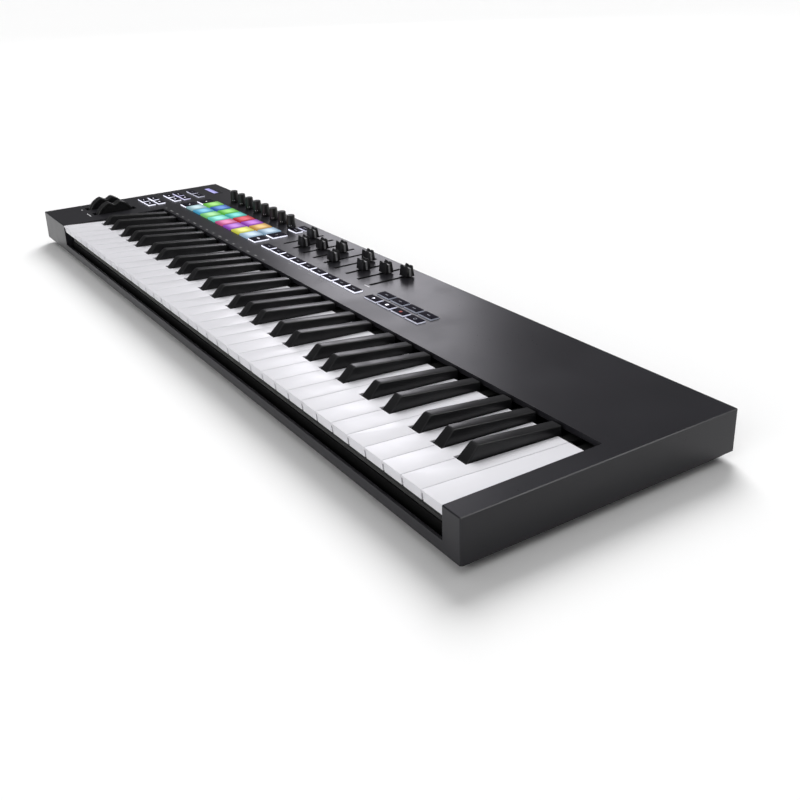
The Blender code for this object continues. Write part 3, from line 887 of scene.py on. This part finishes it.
class StageSetup(bpy.types.PropertyGroup):
    """Floor and lights."""

    floor_colour: FloatVectorProperty(
        name="Floor", description="Colour of the floor", default=(0.90, 0.90, 0.90), subtype="COLOR"
    )
    key: FloatProperty(name="Key", description="Strength of the light from behind on the left", default=2.9)
    ceiling: FloatProperty(name="Ceiling", description="Strength of the even top light", default=0.80)
    fill: FloatProperty(name="Fill", description="Strength of the low front light", default=1.1)
    edges: FloatProperty(name="Edges", description="Strength of the light that only glints", default=0.8)
    strip: FloatProperty(name="Strip", description="Power of the low rear light", default=13.0, unit="POWER")


# ---- Operators --------------------------------------------------------------------------------------


class Piece:
    """What the operators share."""

    bl_options = {"REGISTER", "UNDO"}


class KEYBOARD_OT_case(Piece, bpy.types.Operator):
    """Upper case, tray, feet and screws"""

    bl_idname = "keyboard.case"
    bl_label = "Case"

    def execute(self, context):
        case = softened_copy("top_case", "case_shell", 0.0003)
        hang(case, "case_black", "case", "black_abs", "top_case")
        tray = softened_copy("bottom_tray", "tray_shell", 0.0006)
        hang(tray, "tray_black", "case", "black_abs", "bottom_tray")
        for end in ("front", "rear"):
            for side in ("left", "right"):
                self.foot(f"foot_{end}_{side}")
        self.screws()
        return {"FINISHED"}

    def foot(self, node):
        foot = post(f"{node}_strip", *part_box(node), 0.0070, 8)
        edit(foot)
        pick("faces", lambda m, n: n.z < -0.9)
        inset(0.0008)
        inset(0.0016)
        push((0, 0, 0.0005))
        done()
        smooth(foot, 30)
        hang(foot, "foot_rubber", "case", "rubber", node)

    def screws(self):
        """Cross-head screws in rows under the tray."""
        low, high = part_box("bottom_tray")
        columns, rows, margin = 6, 3, 0.012
        step_x = (high.x - low.x - 2 * margin) / (columns - 1)
        step_y = (high.y - low.y - 2 * margin) / (rows - 1)
        head = drum("screw_shape", (0, 0, 0), 0.0030, 0.0012, 24)
        round_edges(head, lambda m, d: m.z < -0.0005, 0.0005, 3)
        for turn in (0, math.pi / 2):
            slot = block("slot", (-0.0018, -0.0004, -0.002), (0.0018, 0.0004, 0.0000))
            slot.data.transform(Matrix.Rotation(turn, 4, "Z"))
            boolean(head, slot, "DIFFERENCE")
        smooth(head, 30)
        for i in range(columns):
            for j in range(rows):
                place = (low.x + margin + i * step_x, low.y + margin + j * step_y, low.z - 0.0001)
                screw = copy_of(head, f"tray_screw_{i * rows + j + 1}", Matrix.Translation(place))
                hang(screw, "steel", "case", "steel")
        drop(head)


class KEYBOARD_OT_white_keys(Piece, bpy.types.Operator):
    """The white keys, one shape for each note and one for the top key"""

    bl_idname = "keyboard.white_keys"
    bl_label = "White keys"

    def execute(self, context):
        sizes = context.scene.keyboard_keys
        lone = 99  # a note with no black key on either side
        shapes = {}
        for note in (*range(7), lone):
            level = TONGUE_LEVEL["cegb" if note == lone else WHITE_COMB[note]]
            shapes[note] = white_key_shape(f"white_shape_{note}", note, sizes, level)
        for index in range(WHITE_COUNT):
            octave, note = divmod(index, 7)
            last = index == WHITE_COUNT - 1
            body = "white_key_top_c" if last else f"white_keys_{WHITE_COMB[note]}_{octave + 1}"
            x = KEYS_LEFT + index * WHITE_PITCH
            place_key(shapes[lone if last else note], f"white_key_{index + 1}", x, body, "white_key")
        drop(*shapes.values())
        return {"FINISHED"}


class KEYBOARD_OT_black_keys(Piece, bpy.types.Operator):
    """The black keys, all of one shape"""

    bl_idname = "keyboard.black_keys"
    bl_label = "Black keys"

    def execute(self, context):
        shape = black_key_shape("black_shape")
        number = 0
        for octave in range(WHITE_COUNT // 7):
            for note, offset in BLACK_OFFSET.items():
                number += 1
                x = KEYS_LEFT + (octave * 7 + note + 1) * WHITE_PITCH + offset
                place_key(shape, f"black_key_{number}", x, f"black_keys_{octave + 1}", "black_key")
        drop(shape)
        return {"FINISHED"}


class KEYBOARD_OT_wheels(Piece, bpy.types.Operator):
    """Pitch and modulation wheels with a hollow for the thumb"""

    bl_idname = "keyboard.wheels"
    bl_label = "Wheels"

    def execute(self, context):
        for node in ("pitch_wheel", "mod_wheel"):
            self.wheel(node)
        return {"FINISHED"}

    def wheel(self, node):
        """A roller that is cut flat below its axle, sinks in under the thumb, and is bored for the axle."""
        low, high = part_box(node)
        pivot = Vector(JOINTS[node]["pos_m"])
        radius, width = (high.y - low.y) / 2, high.x - low.x
        hollow_half, hollow_depth = radius * math.sin(math.radians(19)), 0.0047
        flat = pivot - Vector((0, 0, 0.0080))
        place, turn = (low.x, pivot.y, pivot.z), (0, math.pi / 2, 0)
        bpy.ops.object.select_all(action="DESELECT")
        bpy.ops.mesh.primitive_circle_add(
            vertices=180, radius=radius, fill_type="NGON", location=place, rotation=turn
        )
        wheel = settle(bpy.context.object, f"{node}_roller")
        edit(wheel)
        pick("verts", lambda m, n: m.z > pivot.z + radius * 0.99999)
        pull((0, 0, -hollow_depth), hollow_half)
        pick_all()
        bpy.ops.mesh.bisect(plane_co=flat, plane_no=(0, 0, 1), clear_inner=True)
        pick_all()
        extrude((width, 0, 0))
        face_out()
        pick("edges", lambda m, d: abs(d.x) < 0.5 and m.z > flat.z + 0.0001)
        round_off(0.0010, 3)
        pick("faces", lambda m, n: abs(n.x) > 0.99 and abs(m.x - low.x - width / 2) > width * 0.49)
        inset(0.0016)
        inset(0.0004, -0.0006)
        done()
        boolean(wheel, drum("bore", pivot, 0.0029, width * 2, 32, "X"), "DIFFERENCE")
        smooth(wheel, 40)
        hang(wheel, "wheel_rubber", node, "black_satin", node)


class KEYBOARD_OT_pads(Piece, bpy.types.Operator):
    """Sixteen lit pads and the dark sheet between them"""

    bl_idname = "keyboard.pads"
    bl_label = "Pads"

    # Colour over the light, front row then rear row, left to right.
    FRONT = (
        (0.62, 0.80, 0.84),
        (0.26, 0.66, 0.86),
        (0.48, 0.88, 0.46),
        (0.40, 0.92, 0.84),
        (0.88, 0.32, 0.58),
        (0.62, 0.28, 0.82),
        (0.90, 0.90, 0.28),
        (0.66, 0.80, 0.92),
    )
    REAR = (
        (0.44, 0.84, 0.26),
        (0.16, 0.36, 0.76),
        (0.36, 0.82, 0.24),
        (0.26, 0.80, 0.76),
        (0.82, 0.14, 0.18),
        (0.62, 0.24, 0.80),
        (0.86, 0.62, 0.24),
        (0.60, 0.74, 0.86),
    )

    def execute(self, context):
        shape = self.pad_shape(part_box("pads")[1].z)
        rows = (self.FRONT, self.REAR)
        for column, row, x, y in grid_places("pads", 8, (0.0, 1.0), PAD):
            name = f"pad_{row * 8 + column + 1}"
            pad = copy_of(shape, name, Matrix.Translation((x, y, 0)))
            dress(pad, glowing_pad(f"{name}_light", Vector((x, y, 0)), rows[row][column]))
            fit(pad, "pads", "pad_silicone", "pads")
        drop(shape)
        sheet = silicone_sheet("pads", "pad_sheet", 0.0015, 4)
        fit(sheet, "pads", "pad_silicone", "pads")
        return {"FINISHED"}

    def pad_shape(self, top):
        half = PAD / 2
        pad = post("pad_shape", (-half.x, -half.y, CAP_FOOT), (half.x, half.y, top), 0.0014, 5)
        round_edges(pad, lambda m, d: m.z > top - 0.00001, 0.0007, 3)
        return smooth(pad, 30)


class KEYBOARD_OT_buttons(Piece, bpy.types.Operator):
    """Buttons with dark tops and lit sides, and the marks on them"""

    bl_idname = "keyboard.buttons"
    bl_label = "Buttons"

    # Groups with one plain mark on each cap: width, depth, corner radius, ink.
    PLAIN_MARKS = {
        "fader_buttons": (0.0052, 0.0009, 0.0004, "grey_ink"),
        "device_buttons": (0.0070, 0.0009, 0.0004, "grey_ink"),
        "pad_buttons_left": (0.0022, 0.0022, 0.0009, "lit_ink"),
    }

    def execute(self, context):
        for node, (columns, shares, size, edges) in GROUPS.items():
            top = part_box(node)[1].z
            shape = self.button_shape(size, top)
            places = grid_places(node, columns, shares, size)
            for column, row, x, y in places:
                name = f"{node}_{row + 1}_{column + 1}"
                button = copy_of(shape, name, Matrix.Translation((x, y, 0)))
                dress(button, material("button_top"), material(edges[row]))
                fit(button, node, "button_silicone", node)
            drop(shape)
            sheet = silicone_sheet(node, f"{node}_sheet", 0.0010, 3)
            fit(sheet, node, "button_silicone", node)
            self.marks(node, places, top)
        return {"FINISHED"}

    def button_shape(self, size, top):
        """A cap whose side is one material and whose top is another."""
        half, rim = size / 2, 0.00012
        cap = post("button_shape", (-half.x, -half.y, CAP_FOOT), (half.x, half.y, top - rim), 0.0008, 4)
        edit(cap)
        pick("faces", lambda m, n: n.z > 0.9)
        inset(0.0001)
        extrude((0, 0, rim))
        pick("edges", lambda m, d: m.z > top - 0.00001)
        round_off(0.00008, 2)
        done()
        smooth(cap, 30)
        dress(cap, None, None)
        return paint_faces(cap, 1, lambda m, n: m.z < top - rim + 0.00001)

    def marks(self, node, tops, z):
        if node in self.PLAIN_MARKS:
            *size, radius, ink = self.PLAIN_MARKS[node]
            signs = [(mark("m", x, y, *size, z, radius), ink) for _, _, x, y in tops]
        elif node == "transport_buttons":
            signs = self.transport_marks(tops, z)
        elif node == "pad_buttons_right":
            signs = self.launch_marks(tops, z)
        else:
            signs = self.sign_marks(tops, z)
        for index, (piece, look) in enumerate(signs):
            piece.name = piece.data.name = f"{node}_mark_{index + 1}"
            hang(piece, look, node, "button_silicone")

    def sign_marks(self, tops, z):
        """Alternate short bars and plus signs."""
        marks = []
        for column, row, x, y in tops:
            sign = [mark("m", x, y, 0.0040, 0.0008, z, 0.0003)]
            if column:
                sign.append(mark("n", x, y, 0.0008, 0.0036, z, 0.0003))
            marks.append((join(sign, "sign"), "grey_ink" if row == 2 else "lit_ink"))
        return marks

    def launch_marks(self, tops, z):
        """A chevron behind, three short bars in front."""
        marks = []
        for _, row, x, y in tops:
            if row:
                marks.append((self.chevron(x, y, 0.0016, z), "white_ink"))
            else:
                bars = [mark("m", x + 0.0021 * i, y, 0.0009, 0.0026, z, 0.0003) for i in (-1, 0, 1)]
                marks.append((join(bars, "bars"), "lit_ink"))
        return marks

    def chevron(self, x, y, reach, z):
        arms = []
        for side in (-1, 1):
            arm = mark("arm", 0, 0, reach * 1.5, 0.0006, z, 0.0002)
            arm.data.transform(Matrix.Rotation(-side * math.pi / 4, 4, "Z"))
            arm.data.transform(Matrix.Translation((x - reach * 0.02, y + side * reach * 0.42, 0)))
            arms.append(arm)
        return join(arms, "chevron")

    def transport_marks(self, tops, z):
        """Play, stop, record and loop signs in front, short bars behind."""
        marks = []
        for column, row, x, y in tops:
            if row:
                marks.append((mark("m", x, y, 0.0050, 0.0009, z, 0.0004), "grey_ink"))
            elif column == 0:
                marks.append((self.triangle(x, y, 0.0019, z), "lit_ink"))
            elif column == 1:
                marks.append((mark("m", x, y, 0.0034, 0.0034, z, 0.0003), "lit_ink"))
            elif column == 2:
                marks.append((self.disc(x, y, 0.0018, z), "red_ink"))
            else:
                marks.append((self.loop(x, y, z), "grey_ink"))
        return marks

    def disc(self, x, y, radius, z):
        return drum("disc", (x, y, z + INK / 2), radius, INK, 20)

    def triangle(self, x, y, radius, z):
        piece = drum("triangle", (0, 0, z + INK / 2), radius * 1.2, INK, 3)
        piece.data.transform(Matrix.Translation((x, y, 0)) @ Matrix.Rotation(-math.pi / 2, 4, "Z"))
        return piece

    def loop(self, x, y, z):
        ring = drum("loop", (x, y, z + INK / 2), 0.0019, INK, 24)
        boolean(ring, drum("hole", (x, y, z), 0.0013, 0.001, 24), "DIFFERENCE")
        return ring


class KEYBOARD_OT_knobs(Piece, bpy.types.Operator):
    """Eight slim knobs with a dished top"""

    bl_idname = "keyboard.knobs"
    bl_label = "Knobs"

    def execute(self, context):
        for number in range(1, KNOB_COUNT + 1):
            self.knob(f"knob_{number}")
        return {"FINISHED"}

    def knob(self, node):
        x, y, _ = centre_of(node)
        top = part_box(node)[1].z
        base, radius = DECK + 0.0006, 0.00565
        knob = drum(f"{node}_cap", (x, y, (base + top) / 2), radius, top - base, 48)
        edit(knob)
        pick("edges", lambda m, d: m.z > top - 0.00001)
        bpy.ops.transform.resize(value=(0.90, 0.90, 1), center_override=(x, y, top))
        slice_at((x, y, base + 0.0030), (0, 0, 1))
        pick("edges", lambda m, d: m.z > top - 0.00001)
        round_off(0.0009, 4)
        pick("faces", lambda m, n: n.z > 0.9 and m.z > top - 0.00001)
        inset(0.0009)
        inset(0.0006, -0.0004)
        pick("edges", lambda m, d: m.z < base + 0.00001)
        round_off(0.0004, 2)
        done()
        smooth(knob, 30)
        hang(knob, "knob_rubber", node, "black_satin", node)
        self.pointer(node, x, y, top)
        self.ticks(node, x, y, base)

    def pointer(self, node, x, y, top):
        """The pale pointer across the top."""
        line = block(f"{node}_pointer", (-0.0003, -0.0050, top - 0.0006), (0.0003, -0.0022, top - 0.00002))
        round_edges(line, lambda m, d: m.z > top - 0.0001, 0.0001, 2)
        line.data.transform(Matrix.Translation((x, y, 0)))
        hang(line, "white_ink", node, "black_satin")

    def ticks(self, node, x, y, base):
        """Two small pale spots low on the skirt, on its front right side, alike on every knob."""
        ticks = []
        for side in (-1, 1):
            tick = block("tick", (-0.00045, -0.00572, 0.0028), (0.00045, -0.0052, 0.0036))
            round_edges(tick, lambda m, d: abs(d.y) > 0.9, 0.0002, 2)
            tick.data.transform(Matrix.Rotation(math.radians(52 + side * 12), 4, "Z"))
            ticks.append(tick)
        pair = join(ticks, f"{node}_ticks")
        pair.data.transform(Matrix.Translation((x, y, base)))
        hang(pair, "white_ink", node, "black_satin")


class KEYBOARD_OT_faders(Piece, bpy.types.Operator):
    """Nine fader caps with a saddle for the finger and a pale centre line"""

    bl_idname = "keyboard.faders"
    bl_label = "Faders"

    def execute(self, context):
        for number in range(1, FADER_COUNT + 1):
            self.fader(f"fader_{number}")
        return {"FINISHED"}

    def fader(self, node):
        """A cap with two ridges across it, a saddle between them and a notch in each ridge."""
        low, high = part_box(node)
        x, y, _ = centre_of(node)
        base, top = DECK + 0.0009, high.z
        half = (high - low).xy / 2
        saddle, depth, ridge, dish, taper = 0.0026, 0.0028, 0.0031, 0.0007, 0.0007
        cap = block(f"{node}_cap", (-half.x, -half.y, base), (half.x, half.y, top))
        edit(cap)
        for line in (-ridge, -saddle / 2, saddle / 2, ridge):
            slice_at((0, line, 0), (0, 1, 0))
        for line in (-0.0021, -0.0014, 0.0014, 0.0021):
            slice_at((line, 0, 0), (1, 0, 0))
        pick("verts", lambda m, n: m.z > top - 0.0001 and abs(m.y) < 0.0020)
        push((0, 0, -depth))
        pick("verts", lambda m, n: m.z > top - 0.0001 and abs(m.y) > 0.0020 and abs(m.x) < 0.0016)
        push((0, 0, -dish))
        for side in (-1, 1):
            pick("verts", lambda m, n: m.z > top - 0.0020 and m.y * side > 0.004)
            push((0, -side * 0.0013, -0.0004))
            pick("verts", lambda m, n: m.z > base + 0.001 and m.x * side > half.x * 0.8)
            push((-side * taper, 0, 0))
        done()
        apply_modifier(cap, "BEVEL", width=0.0005, segments=3, limit_method="ANGLE", angle_limit=0.5)
        smooth(cap, 35)
        cap.data.transform(Matrix.Translation((x, y, 0)))
        hang(cap, "cap_black", node, "black_satin", node)
        self.centre_line(node, x, y, base, top - depth, half.x, taper)
        self.stem(node, x, y, base)

    def centre_line(self, node, x, y, base, top, half, taper):
        """The pale insert that crosses the saddle and runs down both ends, a little proud of the cap."""
        proud, width = 0.00012, 0.0022
        low = (-half - proud, -width / 2, base + 0.0004)
        high = (half + proud, width / 2, top + proud)
        line = block(f"{node}_line", low, high)
        edit(line)
        for side in (-1, 1):
            pick("verts", lambda m, n: m.z > base + 0.002 and m.x * side > 0)
            push((-side * taper, 0, 0))
        pick("edges", lambda m, d: abs(d.y) < 0.5)
        round_off(0.0001, 2)
        done()
        line.data.transform(Matrix.Translation((x, y, 0)))
        hang(line, "cap_line", node, "black_satin")

    def stem(self, node, x, y, base):
        """The flat steel stem that carries the cap through the deck's slot."""
        half_x, half_y, foot = 0.0008, 0.0020, DECK - 0.0055
        corners = (x - half_x, y - half_y, foot), (x + half_x, y + half_y, base + 0.001)
        stem = post(f"{node}_stem", *corners, 0.0003, 2)
        hang(stem, "slider_metal", node, "black_satin")


class KEYBOARD_OT_display(Piece, bpy.types.Operator):
    """The display's dark lens and its lit field"""

    bl_idname = "keyboard.display"
    bl_label = "Display"

    def execute(self, context):
        dress(frame["nodes"]["display_lens"], material("display_glass"))
        low, high = display_field()
        middle = (low + high) / 2
        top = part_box("display_lens")[1].z
        lit = mark("display_field", middle.x, middle.y, high.x - low.x, high.y - low.y, top, 0.0008)
        hang(lit, "display_light", "case", "display_glass")
        return {"FINISHED"}


class KEYBOARD_OT_sockets(Piece, bpy.types.Operator):
    """Pins, contacts and collars of the rear sockets"""

    bl_idname = "keyboard.sockets"
    bl_label = "Sockets"

    LOOKS = {"usb_socket": "steel", "midi_socket": "socket_black", "pedal_jack": "socket_black"}

    def execute(self, context):
        for node, look in self.LOOKS.items():
            dress(frame["nodes"][node], material(look))
        self.pins()
        self.collar()
        return {"FINISHED"}

    def pins(self):
        """Five contact pins on an arc at the bottom of the round socket."""
        x, floor, arc, length = centre_of("midi_socket").x, CASE_HIGH.y - 0.0093, 0.0042, 0.0040
        for number in range(5):
            turn = math.radians(180 + 45 * number)
            place = (x + arc * math.cos(turn), floor + length / 2, SOCKET_LEVEL + arc * math.sin(turn))
            pin = drum(f"midi_pin_{number + 1}", place, 0.0007, length, 12, "Y")
            round_edges(pin, lambda m, d: m.y > floor + length - 0.0001, 0.0003, 2)
            smooth(pin)
            hang(pin, "brass", "case", "steel")

    def collar(self):
        """The threaded bush round the pedal plug's hole."""
        x = centre_of("pedal_jack").x
        ring = drum("pedal_jack_bush", (x, CASE_HIGH.y - 0.0016, SOCKET_LEVEL), 0.0046, 0.0030, 40, "Y")
        hole = drum("hole", (x, CASE_HIGH.y, SOCKET_LEVEL), 0.0034, 0.02, 40, "Y")
        boolean(ring, hole, "DIFFERENCE")
        round_edges(ring, lambda m, d: m.y > CASE_HIGH.y - 0.0002, 0.0003, 2)
        smooth(ring)
        hang(ring, "steel", "case", "steel")


class KEYBOARD_OT_printing(Piece, bpy.types.Operator):
    """Printed marks on the deck, with no lettering"""

    bl_idname = "keyboard.printing"
    bl_label = "Printing"

    def execute(self, context):
        prints = {
            "wheel_marks": (self.wheel_marks, "white_ink"),
            "key_marks": (self.key_marks, "faint_ink"),
            "row_marks": (self.row_marks, "faint_ink"),
            "slot_borders": (self.slot_borders, "black_ink"),
            "fader_mark": (self.fader_mark, "white_ink"),
        }
        for name, (marks, look) in prints.items():
            hang(join(marks(), name), look, "case", "black_abs")
        return {"FINISHED"}

    def at(self, x, y):
        """A place on the deck, from the case's left front corner."""
        return CASE_LOW.x + x, CASE_LOW.y + y

    def wheel_marks(self):
        dot = mark("dot", *self.at(0.0270, 0.0442), 0.0032, 0.0026, DECK, 0.0011)
        bar = mark("bar", *self.at(0.0611, 0.0437), 0.0175, 0.0012, DECK, 0.0005)
        return [dot, bar]

    def key_marks(self):
        """Small captions' places behind the keys of the left half, in four widths."""
        y, marks = CASE_LOW.y + 0.1414, []
        for index in range(16):
            x = KEYS_LEFT + index * WHITE_PITCH * 0.86
            width = 0.0036 + 0.0014 * (index * 3 % 4)
            marks.append(mark("key", x, y, width, 0.0018, DECK, 0.0006))
        return marks

    def row_marks(self):
        """Small captions' places in front of the fourth to eighth fader buttons."""
        left, y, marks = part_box("fader_buttons")[0].x + 0.0112, CASE_LOW.y + 0.1580, []
        for column in range(3, 8):
            width = 0.0060 + 0.0020 * (column % 3)
            marks.append(mark("row", left + column * FADER_PITCH, y, width, 0.0010, DECK, 0.0004))
        return marks

    def slot_borders(self):
        """A narrow black border along both sides of each fader's slot."""
        width, gap, front, rear = 0.0009, 0.00175, 0.1895, 0.2435
        y, marks = CASE_LOW.y + (front + rear) / 2, []
        for number in range(1, FADER_COUNT + 1):
            x = centre_of(f"fader_{number}").x
            for side in (-1, 1):
                place = x + side * (gap + width / 2)
                marks.append(mark("border", place, y, width, rear - front, DECK, 0.0004))
        return marks

    def fader_mark(self):
        return [mark("fader", *self.at(0.5500, 0.1857), 0.0095, 0.0014, DECK, 0.0005)]


class KEYBOARD_OT_interior(Piece, bpy.types.Operator):
    """Finishes of the CAD pieces that keep their own shape"""

    bl_idname = "keyboard.interior"
    bl_label = "Interior"

    def execute(self, context):
        looks = {
            "keybed_chassis": "inner_black",
            "key_contact_board": "circuit_board",
            "contact_rubber": "inner_black",
            "key_stop_felt": "felt",
            "wheel_bracket": "steel",
            "panel_board": "circuit_board",
            "main_board": "circuit_board",
        }
        for node, look in looks.items():
            dress(frame["nodes"][node], material(look))
        return {"FINISHED"}


class KEYBOARD_OT_stage(Piece, bpy.types.Operator):
    """Floor, lights, surroundings and camera"""

    bl_idname = "keyboard.stage"
    bl_label = "Stage"

    def execute(self, context):
        setup = context.scene.keyboard_stage
        floor = slab("floor", (-20, -20, 0), (20, 20, 0))
        dress(floor, studio_floor("studio_floor", setup.floor_colour))
        key = self.sun("key", 140, 42, 32, setup.key)
        key.visible_glossy = False
        self.sun("ceiling", 0, 90, 75, setup.ceiling)
        self.sun("fill", -75, 25, 40, setup.fill)
        edges = self.sun("edges", 50, 40, 20, setup.edges)
        edges.visible_diffuse = False
        self.light("rear_strip", (-3.036, 2.009, 1.54), (0.12, 0.06, 0.0435), (0.85, 1.40), setup.strip)
        self.surroundings(context)
        self.camera(context)
        return {"FINISHED"}

    def sun(self, name, bearing, height, width, strength):
        """A soft light from far away, at a bearing and a height in degrees, so that it is even all over."""
        data = bpy.data.lights.new(name, "SUN")
        data.energy = strength
        data.angle = math.radians(width)
        lamp = self.add(name, data)
        lamp.rotation_euler = Euler((0, math.radians(90 - height), math.radians(bearing)))
        return lamp

    def light(self, name, place, target, size, power):
        """A faintly violet panel of light, whose sheen lies across the deck."""
        data = bpy.data.lights.new(name, "AREA")
        data.shape = "RECTANGLE"
        data.size, data.size_y = size
        data.color = (0.95, 0.93, 1.0)
        data.energy = power
        lamp = self.add(name, data)
        lamp.location = place
        aim = Vector(target) - Vector(place)
        lamp.rotation_euler = aim.to_track_quat("-Z", "Y").to_euler()

    def add(self, name, data):
        obj = bpy.data.objects.new(name, data)
        bpy.context.scene.collection.objects.link(obj)
        return obj

    def surroundings(self, context):
        world = bpy.data.worlds.new("studio")
        world.use_nodes = True
        background = world.node_tree.nodes["Background"]
        background.inputs["Color"].default_value = (1, 1, 1, 1)
        background.inputs["Strength"].default_value = 0.10
        context.scene.world = world
        context.scene.view_settings.view_transform = "Standard"

    def camera(self, context):
        data = bpy.data.cameras.new("view")
        data.lens, data.sensor_width = 43.80, 36.0
        data.shift_x, data.shift_y = 0.01875, -0.0672
        data.clip_end = 100
        camera = self.add("view", data)
        camera.location = (0.89010, -0.43231, 0.36886)
        camera.rotation_euler = Euler([math.radians(turn) for turn in (67.59, 1.94, 57.35)])
        context.scene.camera = camera


class KEYBOARD_PT_panel(bpy.types.Panel):
    """Lists the operators and their settings"""

    bl_idname = "KEYBOARD_PT_panel"
    bl_label = "Keyboard"
    bl_space_type = "VIEW_3D"
    bl_region_type = "UI"
    bl_category = "Keyboard"

    def draw(self, context):
        layout = self.layout
        for operator in OPERATORS:
            layout.operator(operator.bl_idname)
        for group in (context.scene.keyboard_keys, context.scene.keyboard_look, context.scene.keyboard_stage):
            box = layout.box()
            for name in group.__annotations__:
                box.prop(group, name)


# In the order in which the pieces are made.
OPERATORS = (
    KEYBOARD_OT_case,
    KEYBOARD_OT_white_keys,
    KEYBOARD_OT_black_keys,
    KEYBOARD_OT_wheels,
    KEYBOARD_OT_pads,
    KEYBOARD_OT_buttons,
    KEYBOARD_OT_knobs,
    KEYBOARD_OT_faders,
    KEYBOARD_OT_display,
    KEYBOARD_OT_sockets,
    KEYBOARD_OT_printing,
    KEYBOARD_OT_interior,
    KEYBOARD_OT_stage,
)
CLASSES = (KeySizes, Look, StageSetup, *OPERATORS, KEYBOARD_PT_panel)


def register():
    for cls in CLASSES:
        bpy.utils.register_class(cls)
    bpy.types.Scene.keyboard_keys = PointerProperty(type=KeySizes)
    bpy.types.Scene.keyboard_look = PointerProperty(type=Look)
    bpy.types.Scene.keyboard_stage = PointerProperty(type=StageSetup)


def unregister():
    for name in ("keyboard_keys", "keyboard_look", "keyboard_stage"):
        delattr(bpy.types.Scene, name)
    for cls in reversed(CLASSES):
        bpy.utils.unregister_class(cls)


def main():
    register()
    bpy.ops.keyboard.case()
    bpy.ops.keyboard.white_keys()
    bpy.ops.keyboard.black_keys()
    bpy.ops.keyboard.wheels()
    bpy.ops.keyboard.pads()
    bpy.ops.keyboard.buttons()
    bpy.ops.keyboard.knobs()
    bpy.ops.keyboard.faders()
    bpy.ops.keyboard.display()
    bpy.ops.keyboard.sockets()
    bpy.ops.keyboard.printing()
    bpy.ops.keyboard.interior()
    bpy.ops.keyboard.stage()


if __name__ == "__main__":
    main()
